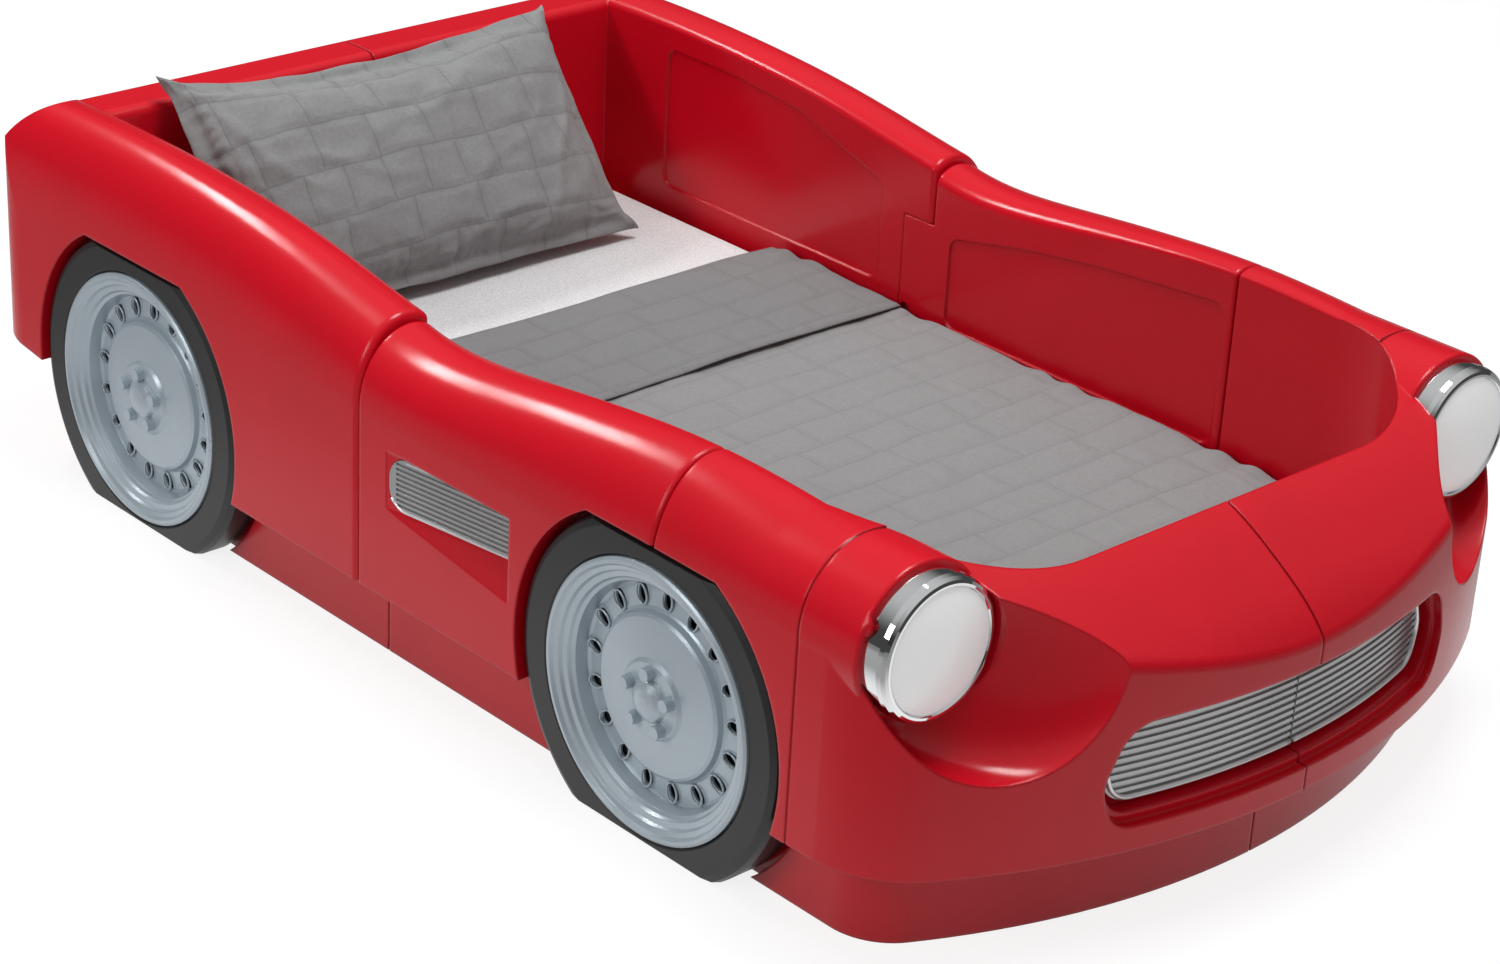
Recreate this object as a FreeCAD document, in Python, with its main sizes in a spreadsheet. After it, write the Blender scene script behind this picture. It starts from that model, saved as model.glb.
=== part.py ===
import FreeCAD, Part
import math
import os
import Sketcher
from FreeCAD import Placement, Rotation, Vector

# A child's bed moulded as an old sports car. Millimetres, +Z up, nose towards -Y.
# The origin lies on the floor at the middle of the footprint. The right-hand half (-X) is
# modelled; the left-hand half is its mirror image.

doc = FreeCAD.newDocument("CarBed")

# ---------------------------------------------------------------- driving dimensions

SIZES = (
    # the moulded body
    ("nose_y", -1131, "front of the nose"),
    ("tail_y", 1131, "back of the tail"),
    ("rail_width", 132, "flank, outside the inner wall of the well"),
    ("mattress_side_gap", 26, "inner wall of the well, outside the side of the mattress"),
    ("hem_height", 134, "lower edge of the coloured body above the plinth"),
    ("tail_hem_height", 205, "lower edge of the body at the tail"),
    ("wall", 5, "wall of the moulded panels"),
    ("panel_gap", 3, "gap between two neighbouring panels"),
    ("seam_rounding", 6, "rounded edges of the door panel"),
    ("front_end_rounding", 4, "rounded rear edge of the front panel"),
    ("rear_end_rounding", 10, "rounded front edge of the rear panel"),
    ("front_seam_y", -514, "seam between front and door panel"),
    ("rear_seam_y", 124, "seam between door and rear panel"),
    # plan of the nose
    ("nose_arc", 1168, "radius of the nose in plan"),
    ("nose_corner", 164, "radius of the front corners in plan"),
    ("tail_corner", 100, "radius of the tail corners in plan"),
    ("tail_roll", 200, "how far ahead of the tail the fender starts to roll down"),
    ("tail_roll_top", 620, "height from which the roll of the tail starts"),
    ("tail_shoulder", 400, "where the roll of the tail meets its face"),
    ("plinth_inset", 60, "plinth, inside the flank"),
    ("plinth_setback", 76, "plinth, behind the nose"),
    ("plinth_corner", 102, "front corner of the plinth in plan"),
    ("plinth_tail_setback", 70, "plinth, ahead of the tail"),
    # mattress well
    ("hood_edge_y", -944, "rear edge of the hood"),
    ("well_front_y", -960, "foot wall of the well, under the hood"),
    ("well_rear_y", 953, "head wall of the well"),
    ("hood_corner", 235, "corner of the opening at the hood"),
    ("well_corner", 120, "front corners of the well under the hood"),
    ("head_corner", 100, "rear corners of the well"),
    ("hood_lip_height", 330, "top of the niche for the mattress foot, under the hood"),
    ("headboard_height", 590, "top of the head wall"),
    ("recess_depth", 4, "depth of the panels pressed into the inner wall"),
    ("ledge_height", 85, "ledge that carries the slats"),
    ("ledge_depth", 52, "how far the ledge reaches into the well"),
    # wheels
    ("front_wheel_y", -510, "front wheel centre"),
    ("rear_wheel_y", 704, "rear wheel centre"),
    ("wheel_height", 213, "wheel centre above the floor"),
    ("tyre_radius", 262, "tyre"),
    ("tyre_depth", 70, "width of the tyre moulding"),
    ("tyre_top", 441, "flat on top of the tyre"),
    ("tyre_shoulder", 14, "rounded edge of the tyre"),
    ("tyre_recess", 46, "seat of the hubcap in the tyre"),
    ("wheel_inset", 5, "tyre face behind the flank"),
    ("arch_gap", 9, "air around the tyre in its arch"),
    ("rim_radius", 205, "hubcap"),
    ("vent_ring", 143, "radius of the ring of vents in the hubcap"),
    ("vent_length", 30, "vent in the hubcap, from the centre outwards"),
    ("vent_width", 20, "vent in the hubcap, across"),
    ("vent_count", 17, "vents in the hubcap"),
    ("lug_ring", 43, "radius of the lug circle"),
    ("lug_count", 5, "lug nuts"),
    ("fit", 0.3, "fitting clearance"),
    # headlights
    ("lamp_height", 443, "headlight centre above the floor"),
    ("barrel_radius", 112, "moulded barrel behind the headlight"),
    ("fender_setback", 0.5, "skin of the front fender inside that of the barrel"),
    ("barrel_edge", 5, "rounding at the front end of the barrel"),
    ("barrel_back_y", -800, "where the barrel meets the rail, at a parting line"),
    ("line_depth", 2, "depth of the parting line"),
    ("barrel_front_y", -903, "front end of the barrel"),
    ("bezel_radius", 102.5, "chrome ring, outside"),
    ("bezel_depth", 40, "chrome ring, front to back"),
    ("lens_radius", 88, "frosted lens"),
    ("lens_dome", 15, "height of the lens dome"),
    ("lens_wall", 3, "wall of the lens"),
    ("lens_skirt", 17, "skirt behind the lens"),
    ("switch_gap", 3.2, "travel of the lens before its stem meets the switch"),
    ("housing_depth", 20, "wide front of the lamp housing, front to back"),
    ("housing_wall", 3, "wall of the lamp housing"),
    ("tray_radius", 34, "battery tray behind the lamp housing"),
    ("tray_depth", 60, "battery tray, from the front of the housing"),
    ("cell_length", 44.5, "cell, end to end"),
    ("cell_radius", 5.2, "cell"),
    # scoop around the headlight
    ("scoop_inset", 46, "centre of the scoop's rim, inside the centre of the headlight"),
    ("scoop_y", -979, "centre of the scoop's rim"),
    ("scoop_radius", 165, "rim of the scoop"),
    ("scoop_root_y", -903, "where the scoop meets the barrel"),
    ("scoop_root", 100, "radius of the scoop where it meets the barrel"),
    ("scoop_yaw", 27, "degrees the scoop looks outwards"),
    # grille
    ("mouth_half_width", 357, "grille mouth"),
    ("mouth_bottom", 171, "lower lip of the mouth"),
    ("mouth_top", 327, "upper lip of the mouth"),
    ("mouth_depth", 42, "recess of the grille behind the nose"),
    ("lip_height", 14, "round inner lip below the grille, above the lower lip of the mouth"),
    ("lip_setback", 15, "round inner lip, behind the nose"),
    ("grille_bottom", 193, "lower edge of the grille insert"),
    ("grille_plate", 6, "grille insert plate"),
    ("rib_height", 3, "height of the grille and vent ribs"),
    ("grille_ribs", 11, "ribs on the grille insert"),
    # side vent
    ("vent_rear_y", 55, "rear end of the vent scoop"),
    ("vent_front_y", -223, "front end of the vent scoop"),
    ("vent_top", 376, "top of the vent scoop"),
    ("vent_floor", 283, "lower edge of the vent insert"),
    ("vent_sill", 243, "lower edge of the vent scoop in the flank"),
    ("vent_depth", 40, "depth of the scoop at its front end"),
    ("vent_plate", 5, "vent insert plate"),
    ("vent_ribs", 9, "ribs on the vent insert"),
    # lap joint between door and rear panel
    ("tongue_length", 64, "how far the door panel laps the rear panel"),
    ("tongue_top", 428, "top of the lap"),
    ("tongue_depth", 20, "thickness of the lap"),
    ("screw_height", 262, "lap screw above the floor"),
    ("lower_screw_height", 150, "second lap screw, hidden by the mattress"),
    ("screw_setback", 14, "lap screw, ahead of the tongue's end"),
    ("screw_bore", 22, "counterbore of the lap screws"),
    ("screw_shank", 8, "shank of the lap screws"),
    # mattress support and bedding
    ("slat_count", 12, "slats"),
    ("slat_width", 70, "slat, along the bed"),
    ("slat_thickness", 18, "slat"),
    ("slat_length", 1036, "slat, across the bed"),
    ("mattress_length", 1905, "mattress"),
    ("mattress_width", 990, "mattress"),
    ("mattress_thickness", 160, "mattress"),
    ("mattress_corner", 80, "corner of the mattress in plan"),
    ("mattress_end_gap", 4, "air between the mattress and the end walls"),
    ("sheet_cloth", 1.2, "fitted sheet"),
    ("quilt_cloth", 11, "quilt, one layer"),
    ("quilt_foot_gap", 4, "air between the quilt and the hood's rear edge"),
    ("quilt_head_y", 485, "folded edge of the quilt"),
    ("quilt_turn_down", 320, "width of the turned-down band"),
    ("quilt_drop", 70, "how far the quilt is tucked down beside the mattress"),
    ("pillow_width", 820, "pillow sham with its flange, across the bed"),
    ("pillow_height", 460, "pillow sham with its flange, bottom to top"),
    ("pillow_loft", 78, "half the thickness of the pillow in its middle"),
    ("pillow_flange", 3, "half the thickness of the flange"),
    ("pillow_x", -42, "middle of the pillow, across the bed"),
    ("pillow_foot_y", 652, "lower edge of the pillow on the mattress"),
    ("pillow_lean", 50.5, "degrees the pillow leans against the head wall"),
    # screws and joining plates
    ("slat_inset", 50, "first slat, behind the edge of the ledge"),
    ("wheel_screw_ring", 80, "radius of the ring of screws under a hubcap"),
    ("wheel_screw_count", 4, "screws that hold one tyre"),
    ("plate_length", 160, "joining plate across a seam"),
    ("plate_height", 50, "joining plate, up and down"),
    ("plate_thickness", 3, "joining plate"),
    ("plate_middle", 45, "joining plate's middle above the floor"),
    ("small_head", 6, "radius of a small screw's head"),
    ("small_head_height", 3.5, "head of a small screw"),
    ("small_shank", 2.2, "radius of a small screw's shank"),
    ("small_length", 30, "small screw under its head"),
    ("wheel_screw_length", 34, "wheel screw under its head"),
)

sizes = doc.addObject("Spreadsheet::Sheet", "sizes")
for row, (alias, value, note) in enumerate(SIZES, start=1):
    sizes.set(f"A{row}", note)
    sizes.set(f"B{row}", str(value))
    sizes.setAlias(f"B{row}", alias)
doc.recompute()


def size(alias):
    """A driving dimension as a plain number."""
    return float(getattr(sizes, alias))


WELL = size("mattress_width") / 2 + size("mattress_side_gap")
HALF = WELL + size("rail_width")
LAMP_X = HALF - size("barrel_radius")
NOSE = size("nose_y")
TAIL = size("tail_y")
HEM = size("hem_height")
GAP = size("panel_gap")
FIT = size("fit")
LAMP = Vector(-LAMP_X, size("barrel_front_y"), size("lamp_height"))
ROOF = 700.0          # any height above the whole bed
FLANK_CELLS = "-sizes.mattress_width / 2 - sizes.mattress_side_gap - sizes.rail_width"
QUARTER = 0.5523      # Bezier handle of a quarter circle of radius 1

# ---------------------------------------------------------------- general helpers


def box(x0, x1, y0, y1, z0, z1):
    """Upright box between two corners."""
    return Part.makeBox(x1 - x0, y1 - y0, z1 - z0, Vector(x0, y0, z0))


def rod(radius, start, end):
    """Round bar between two points."""
    along = end - start
    return Part.makeCylinder(radius, along.Length, start, along)


def quarter_arc(start, end, corner):
    """Quarter of an ellipse from start to end whose tangents meet in corner."""
    curve = Part.BezierCurve()
    curve.setPoles([start, start + (corner - start) * QUARTER, end + (corner - end) * QUARTER, end])
    return curve.toShape()


def extrude(edges, along):
    """Solid swept from a closed plane outline along a vector."""
    return Part.Face(Part.Wire(edges)).extrude(along)


def polygon(points):
    """Closed outline through the given points."""
    return Part.makePolygon(points + points[:1]).Edges


def round_edges(solid, radius, wanted):
    """Fillet the edges of a solid that the test picks."""
    return solid.makeFillet(radius, [edge for edge in solid.Edges if wanted(edge)])


def runs_along(edge, axis):
    """True for a straight edge parallel to a world axis, given as 0, 1 or 2."""
    ends = [vertex.Point for vertex in edge.Vertexes]
    if len(ends) < 2:
        return False
    span = ends[1] - ends[0]
    return abs(abs(span[axis]) - span.Length) < 0.001 and abs(edge.Length - span.Length) < 0.001


def rounded_well(half_width, front, rear, front_corner, rear_corner, bottom, top):
    """Pocket with round corners in plan."""
    pocket = box(-half_width, half_width, front, rear, bottom, top)
    middle = (front + rear) / 2
    pocket = round_edges(pocket, front_corner,
                         lambda edge: runs_along(edge, 2) and edge.CenterOfMass.y < middle)
    return round_edges(pocket, rear_corner,
                       lambda edge: runs_along(edge, 2) and edge.CenterOfMass.y > middle
                       and abs(edge.CenterOfMass.y - rear) < 0.001)


def nose_outline(half_width, front, arc, corner, rear, rear_corner):
    """Plan outline: an arched nose, round front corners, straight flanks and a plain tail."""
    arc_y = front + arc
    corner_x = half_width - corner
    corner_y = arc_y - math.sqrt((arc - corner) ** 2 - corner_x ** 2)
    outward = Vector(corner_x, corner_y - arc_y, 0).normalize()
    meet = Vector(0, arc_y, 0) + outward * arc
    turn = (outward + Vector(1, 0, 0)).normalize()
    swell = Vector(corner_x, corner_y, 0) + turn * corner
    flank = Vector(half_width, corner_y, 0)

    def other(point):
        return Vector(-point.x, point.y, point.z)

    tail_flank = Vector(half_width, rear - rear_corner, 0)
    tail_face = Vector(half_width - rear_corner, rear, 0)
    tail_knee = Vector(half_width, rear, 0)
    return [
        Part.Arc(other(meet), Vector(0, front, 0), meet).toShape(),
        Part.Arc(meet, swell, flank).toShape(),
        Part.makeLine(flank, tail_flank),
        quarter_arc(tail_flank, tail_face, tail_knee),
        Part.makeLine(tail_face, other(tail_face)),
        quarter_arc(other(tail_face), other(tail_flank), other(tail_knee)),
        Part.makeLine(other(tail_flank), other(flank)),
        Part.Arc(other(flank), other(swell), other(meet)).toShape(),
    ]


# ---------------------------------------------------------------- body of the car, right half

# The side rail, station by station from tail to nose: place along the bed, height where the
# flank starts to turn in, how far inside the flank the crown lies, crown height, how far outside
# the inner wall the inner edge lies, height of the inner edge. The rear panel stands a little
# higher than the door panel.
REAR_RAIL = (
    (1160, 420, 85, 596, 0, 578),
    (880, 428, 85, 603, 0, 582),
    (720, 428, 85, 602, 0, 583),
    (580, 427, 85, 596, 0, 578),
    (444, 424, 86, 586, 0, 567),
    (281, 421, 87, 565, 0, 544),
    (124, 419, 88, 541, 0, 518),
)
FRONT_RAIL = (
    (124, 417, 90, 530, 0, 503),
    (21, 417, 91, 519, 0, 493),
    (-124, 415, 93, 529, 0, 505),
    (-337, 412, 100, 552, 0, 538),
    (-514, 412, 106, 563, 0, 552),
    (-619, 428, 110, 561, 0, 552),
    (-706, 443, 112, 555, 0, 549),
)
RAIL_FOOT = (-797, 443, 112, 555, -26, 545)

# Rise of the hood from the nose backwards: place along the bed, height.
HOOD_LINE = (
    (-1131, 366),
    (-1092, 408),
    (-1038, 446),
    (-985, 478),
    (-944, 497),
    (-869, 520),
    (-779, 541),
    (-709, 549),
)


def rail_section(station):
    """Closed cross-section of the side rail at one station."""
    along, shoulder, crown_inset, crown, edge_offset, edge = station
    crown_x = HALF - crown_inset
    edge_x = WELL + edge_offset
    hem_out = Vector(-HALF, along, HEM)
    knee = Vector(-HALF, along, shoulder)
    top = Vector(-crown_x, along, crown)
    inner = Vector(-edge_x, along, edge)
    hem_in = Vector(-edge_x, along, HEM)
    return Part.Wire([
        Part.makeLine(hem_out, knee),
        quarter_arc(knee, top, Vector(-HALF, along, crown)),
        quarter_arc(top, inner, Vector(-edge_x, along, crown)),
        Part.makeLine(inner, hem_in),
        Part.makeLine(hem_in, hem_out),
    ])


def body_plan(height):
    """The body's plan outline as an upright prism of the given height."""
    outline = nose_outline(HALF, NOSE, size("nose_arc"), size("nose_corner"), TAIL,
                           size("tail_corner"))
    prism = extrude(outline, Vector(0, 0, height - HEM))
    prism.translate(Vector(0, 0, HEM))
    return prism


def tail_profile(inner):
    """Side view of everything near the tail, rounded down to the tail face."""
    shoulder = size("tail_shoulder")
    top = size("tail_roll_top")
    start = Vector(-HALF - 10, TAIL - size("tail_roll"), top)
    end = Vector(-HALF - 10, TAIL, shoulder)
    edges = [
        quarter_arc(start, end, Vector(start.x, TAIL, top)),
        Part.makeLine(end, Vector(start.x, TAIL, HEM)),
        Part.makeLine(Vector(start.x, TAIL, HEM), Vector(start.x, inner, HEM)),
        Part.makeLine(Vector(start.x, inner, HEM), Vector(start.x, inner, top)),
        Part.makeLine(Vector(start.x, inner, top), start),
    ]
    return extrude(edges, Vector(HALF + 10, 0, 0))


def side_rail():
    """Fender, door rail and front rail of the right flank."""
    rear = Part.makeLoft([rail_section(station) for station in REAR_RAIL], True, False)
    front = Part.makeLoft([rail_section(station) for station in FRONT_RAIL], True, False)
    foot = Part.makeLoft([rail_section(FRONT_RAIL[-1]), rail_section(RAIL_FOOT)], True, True)
    rear = rear.common(body_plan(ROOF)).common(tail_profile(size("rear_seam_y") - 20))
    return rear.fuse([front, foot])


def head_wall():
    """Right half of the head wall, rounded to the tail and softened along its inner edge."""
    top = size("headboard_height")
    block = box(-HALF + REAR_RAIL[0][2], 0, size("well_rear_y"), TAIL, HEM, top)
    block = round_edges(block, 16, lambda edge: runs_along(edge, 0)
                        and edge.CenterOfMass.z > top - 1
                        and edge.CenterOfMass.y < size("well_rear_y") + 1)
    return block.common(body_plan(ROOF)).common(tail_profile(size("well_rear_y") - 1))


def hood_block():
    """Right half of the nose: plan outline, hood line and rounded leading edge."""
    side = HALF + 10
    line = Part.BSplineCurve()
    line.interpolate([Vector(-side, along, height) for along, height in HOOD_LINE])
    first = Vector(-side, HOOD_LINE[0][0], HOOD_LINE[0][1])
    last = Vector(-side, HOOD_LINE[-1][0], HOOD_LINE[-1][1])
    edges = [
        line.toShape(),
        Part.makeLine(last, Vector(-side, last.y, HEM)),
        Part.makeLine(Vector(-side, last.y, HEM), Vector(-side, NOSE, HEM)),
        Part.makeLine(Vector(-side, NOSE, HEM), first),
    ]
    block = extrude(edges, Vector(2 * side, 0, 0)).common(body_plan(ROOF))
    crease = [edge for edge in block.Edges if edge.BoundBox.ZMin > 350
              and edge.BoundBox.YMax < -930 and edge.Length > 300]
    block = block.makeFillet(24, crease)
    return block.common(crown_prism())


def crown_prism():
    """Cross-section of the front fenders, swept along the bed, just inside the barrel's skin."""
    front = NOSE - 5
    radius = size("barrel_radius") - size("fender_setback")
    shoulder = size("lamp_height")
    top = shoulder + radius
    flank = LAMP_X + radius
    knee = Vector(-flank, front, shoulder)
    crown = Vector(-LAMP_X, front, top)
    edges = [
        Part.makeLine(Vector(0, front, 0), Vector(-flank, front, 0)),
        Part.makeLine(Vector(-flank, front, 0), knee),
        Part.Arc(knee, Vector(-LAMP_X, front, shoulder)
                 + Vector(-1, 0, 1).normalize() * radius, crown).toShape(),
        Part.makeLine(crown, Vector(0, front, top)),
        Part.makeLine(Vector(0, front, top), Vector(0, front, 0)),
    ]
    return extrude(edges, Vector(0, size("barrel_back_y") - front, 0))


def headlight_barrel():
    """Moulded barrel that carries the headlight, rounded at its front end."""
    back = Vector(-LAMP_X, size("barrel_back_y"), size("lamp_height"))
    barrel = rod(size("barrel_radius"), back, LAMP)
    return round_edges(barrel, size("barrel_edge"),
                       lambda edge: abs(edge.CenterOfMass.y - LAMP.y) < 0.01)


def scoop():
    """Bell-shaped recess around the barrel; it looks forwards and outwards."""
    yaw = math.radians(size("scoop_yaw"))
    outlook = Vector(-math.sin(yaw), -math.cos(yaw), 0)
    rim = Vector(-LAMP_X + size("scoop_inset"), size("scoop_y"), size("lamp_height"))
    root = Vector(-LAMP_X, size("scoop_root_y"), size("lamp_height"))
    radius = size("scoop_radius")
    rings = (
        (root - outlook * 4, size("scoop_root")),
        (root * 0.55 + rim * 0.45, radius * 0.86),
        (rim, radius),
        (rim + outlook * 150, radius * 1.02),
    )
    circles = [Part.Wire(Part.makeCircle(reach, centre, outlook)) for centre, reach in rings]
    return Part.makeLoft(circles, True, False)


def mouth_outline(half_width, bottom, top):
    """Front view of the right half of the grille mouth as a prism through the nose."""
    front = NOSE - 5
    low_knee = Vector(-half_width + 19, front, bottom)
    side_knee = Vector(-half_width, front, bottom * 0.57 + top * 0.43)
    top_knee = Vector(-half_width + 35, front, top)
    points = [Vector(0, front, bottom), low_knee, side_knee, top_knee, Vector(0, front, top)]
    prism = extrude(polygon(points), Vector(0, 200, 0))
    for knee, radius in ((low_knee, 0.28), (side_knee, 0.38), (top_knee, 0.38)):
        prism = round_edges(prism, radius * (top - bottom), lambda edge: runs_along(edge, 1)
                            and abs(edge.CenterOfMass.x - knee.x) < 0.01
                            and abs(edge.CenterOfMass.z - knee.z) < 0.01)
    return prism


def nose_ring(inner_setback, outer_setback):
    """Upright wall that follows the nose in plan, between two setbacks from its face."""
    centre = Vector(0, NOSE + size("nose_arc"), 0)
    outer = Part.makeCylinder(size("nose_arc") - outer_setback, ROOF, centre)
    inner = Part.makeCylinder(size("nose_arc") - inner_setback, ROOF, centre)
    return outer.cut(inner).common(box(-HALF, HALF, NOSE - 5, NOSE + 200, 0, ROOF))


def grille_mouth():
    """Recess of the grille in the nose, with a round inner lip below the grille."""
    wide = size("mouth_half_width")
    low = size("mouth_bottom")
    high = size("mouth_top")
    lip = size("lip_height")
    outer = mouth_outline(wide, low, high).common(nose_ring(size("lip_setback"), -4))
    inner = mouth_outline(wide - 8, low + lip, high).common(nose_ring(size("mouth_depth"), -4))
    return outer.fuse(inner)


def wheel_arch(wheel_y):
    """Flat-topped pocket for one tyre."""
    radius = size("tyre_radius") + size("arch_gap")
    deep = HALF - size("wheel_inset") - size("tyre_depth") - FIT
    hole = rod(radius, Vector(-HALF - 5, wheel_y, size("wheel_height")),
               Vector(-deep, wheel_y, size("wheel_height")))
    return hole.common(box(-HALF - 5, 0, wheel_y - radius - 5, wheel_y + radius + 5, -5,
                           size("tyre_top") + size("arch_gap")))


def vent_scoop():
    """Wedge in the flank, flush at its rear end and deepest at its front end."""
    skin = -HALF - 2

    def section(along, depth, sill):
        floor = size("vent_floor")
        roof = size("vent_top")
        return Part.Wire(polygon([
            Vector(skin, along, sill),
            Vector(skin, along, roof),
            Vector(-HALF + depth, along, roof - 4),
            Vector(-HALF + depth, along, floor),
        ]))

    wedge = Part.makeLoft([
        section(size("vent_rear_y"), 0.5, size("vent_floor") - 4),
        section(size("vent_front_y"), size("vent_depth"), size("vent_sill")),
    ], True, True)
    ends = box(skin - 5, -HALF + 60, size("vent_front_y"), size("vent_rear_y"),
               size("vent_sill") - 12, size("vent_top"))
    return wedge.common(ends)


VENT_REACH = size("vent_rear_y") - size("vent_front_y")
VENT_FALL = size("vent_depth") - 0.5
VENT_SLANT = math.degrees(math.atan2(VENT_FALL, VENT_REACH))
VENT_LENGTH = math.hypot(VENT_REACH, VENT_FALL) - 12
VENT_HEIGHT = size("vent_top") - 4 - size("vent_floor") - 4
VENT_THICK = size("vent_plate") + size("rib_height")


def vent_outline(grow):
    """Lines and arcs of the vent insert: large corners at the rear end, small at the front."""
    half = math.pi / 2
    low = -grow
    high = VENT_HEIGHT + grow
    end = VENT_LENGTH + grow
    near = VENT_HEIGHT * 0.42 + grow
    far = 14 + grow

    def corner(x, y, radius, start):
        return Part.ArcOfCircle(Part.Circle(Vector(x, y, 0), Vector(0, 0, 1), radius), start,
                                start + half)

    def side(x0, y0, x1, y1):
        return Part.LineSegment(Vector(x0, y0, 0), Vector(x1, y1, 0))

    return [
        side(low + near, low, end - far, low),
        corner(end - far, low + far, far, -half),
        side(end, low + far, end, high - far),
        corner(end - far, high - far, far, 0),
        side(end - far, high, low + near, high),
        corner(low + near, high - near, near, half),
        side(low, high - near, low, low + near),
        corner(low + near, low + near, near, 2 * half),
    ]


def vent_placement():
    """Where the insert lies: sunk into the slanted back of the vent scoop."""
    turned = Rotation(Vector(0, 0, 1), VENT_SLANT).multiply(
        Rotation(Vector(0, -1, 0), Vector(0, 0, 1), Vector(-1, 0, 0), "XYZ"))
    corner = Vector(-HALF + 0.5 + VENT_THICK, size("vent_rear_y") - 6, size("vent_floor") + 3)
    return Placement(corner, turned)


def vent_seat():
    """Pocket that takes the vent insert."""
    outline = [piece.toShape() for piece in vent_outline(FIT)]
    seat = extrude(outline, Vector(0, 0, VENT_THICK * 3))
    seat.translate(Vector(0, 0, -FIT))
    seat.Placement = vent_placement().multiply(seat.Placement)
    return seat


def plinth():
    """Recessed base under the body, with the ledge for the slats."""
    outline = nose_outline(HALF - size("plinth_inset"), NOSE + size("plinth_setback"),
                           size("nose_arc"), size("plinth_corner"),
                           TAIL - size("plinth_tail_setback"), size("tail_corner"))
    return extrude(outline, Vector(0, 0, HEM + 90)).common(box(-HALF, 0, NOSE, TAIL, 0, HEM + 90))


def mattress_well():
    """Space for the mattress: ledge level, under the hood, and the opening above."""
    ledge = size("ledge_depth")
    below = rounded_well(WELL - ledge, size("well_front_y") + ledge, size("well_rear_y") - ledge,
                         size("well_corner") - ledge, size("head_corner") - ledge, -5,
                         size("ledge_height") + 1)
    middle = rounded_well(WELL, size("well_front_y"), size("well_rear_y"), size("well_corner"),
                          size("head_corner"), size("ledge_height"), size("hood_lip_height"))
    opening = rounded_well(WELL, size("hood_edge_y"), size("well_rear_y"), size("hood_corner"),
                           size("head_corner"), size("hood_lip_height") - 1, ROOF)
    return below.fuse([middle, opening])


# Panels pressed into the inner wall: front end, rear end, bottom, then the height of the top
# edge at places along the bed.
HEAD_RECESS = (243, 789, 292, ((243, 466), (451, 530), (621, 546), (789, 546)))
DOOR_RECESS = (-497, 81, 262, ((-497, 500), (-241, 476), (-79, 452), (81, 418)))


def wall_recess(front, rear, bottom, heights):
    """Shallow panel pressed into the inner wall; its top follows the rail."""
    depth = size("recess_depth")
    points = [Vector(-WELL - depth, rear, bottom), Vector(-WELL - depth, front, bottom)]
    points += [Vector(-WELL - depth, along, height) for along, height in heights]
    prism = extrude(polygon(points), Vector(depth + 1, 0, 0))
    return round_edges(prism, 22, lambda edge: runs_along(edge, 0)
                       and (abs(edge.CenterOfMass.y - front) < 1
                            or abs(edge.CenterOfMass.y - rear) < 1))


def tail_wedge():
    """What is cut away under the tail, where the hem rises."""
    rise = size("tail_hem_height")
    start = size("rear_wheel_y") + size("tyre_radius") - 20
    points = [Vector(-HALF - 5, start, HEM - 5), Vector(-HALF - 5, TAIL + 5, HEM - 5),
              Vector(-HALF - 5, TAIL + 5, rise), Vector(-HALF - 5, start, rise - 22)]
    return extrude(polygon(points), Vector(HALF + 5, 0, 0))


def lap_tongue(clearance):
    """Tongue of the door panel that laps the rear panel inside the well."""
    rear = size("rear_seam_y")
    return box(-WELL - size("tongue_depth") - clearance, -WELL, rear - 40,
               rear + size("tongue_length") + clearance, size("ledge_height"),
               size("tongue_top") + clearance)


def lap_screw_places():
    """Centre of each lap screw's head on the inner wall."""
    along = size("rear_seam_y") + size("tongue_length") - size("screw_setback")
    return [Vector(-WELL, along, size("screw_height")),
            Vector(-WELL, along, size("lower_screw_height"))]


def cavity_boxes():
    """Plain hollows inside the double-wall panels."""
    wall = size("wall")
    rail_out = -HALF + wall
    rail_in = -WELL - wall - size("recess_depth")
    arch_wall = -(HALF - size("wheel_inset") - size("tyre_depth")) + wall
    half_arch = size("tyre_radius") + size("arch_gap") + wall
    front_seam = size("front_seam_y")
    front_wheel = size("front_wheel_y")
    rear_seam = size("rear_seam_y")
    clear = GAP / 2 + wall
    foot = size("well_front_y") - wall
    behind_mouth = NOSE + size("mouth_depth") + 56
    return {
        "front": [
            box(arch_wall, rail_in, front_wheel - half_arch, front_seam - clear, 30, 500),
            box(rail_out + 6, rail_in, -829, front_wheel - half_arch, HEM + wall, 330),
            box(-310, -clear, behind_mouth, foot, HEM + wall, 400),
            box(-310, -clear, NOSE + size("plinth_setback") + 54, foot + size("ledge_depth"), 20,
                size("ledge_height") - wall),
        ],
        "door": [
            box(arch_wall, rail_in, front_seam + clear, front_wheel + half_arch, 30, 500),
            box(rail_out + size("vent_depth"), rail_in, front_wheel + half_arch,
                rear_seam - clear - 40, HEM + wall, 470),
            box(-HALF + size("plinth_inset") + wall, rail_in, front_wheel + half_arch,
                rear_seam - clear, 10, HEM + wall + 1),
        ],
        "rear": [
            box(rail_out + 4, rail_in, rear_seam + clear + size("tongue_length") + 10,
                size("rear_wheel_y") - half_arch, HEM + wall, 470),
            box(arch_wall, rail_in, size("rear_wheel_y") - half_arch - 1,
                size("rear_wheel_y") + half_arch - 60, 30, 545),
            box(-HALF + 113, -clear, size("well_rear_y") + wall, TAIL - 60,
                size("tail_hem_height") + wall, 520),
            box(-HALF + 150, -clear, size("well_rear_y") + wall,
                TAIL - size("plinth_tail_setback") - wall, 20,
                size("tail_hem_height") + wall + 1),
        ],
    }


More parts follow.
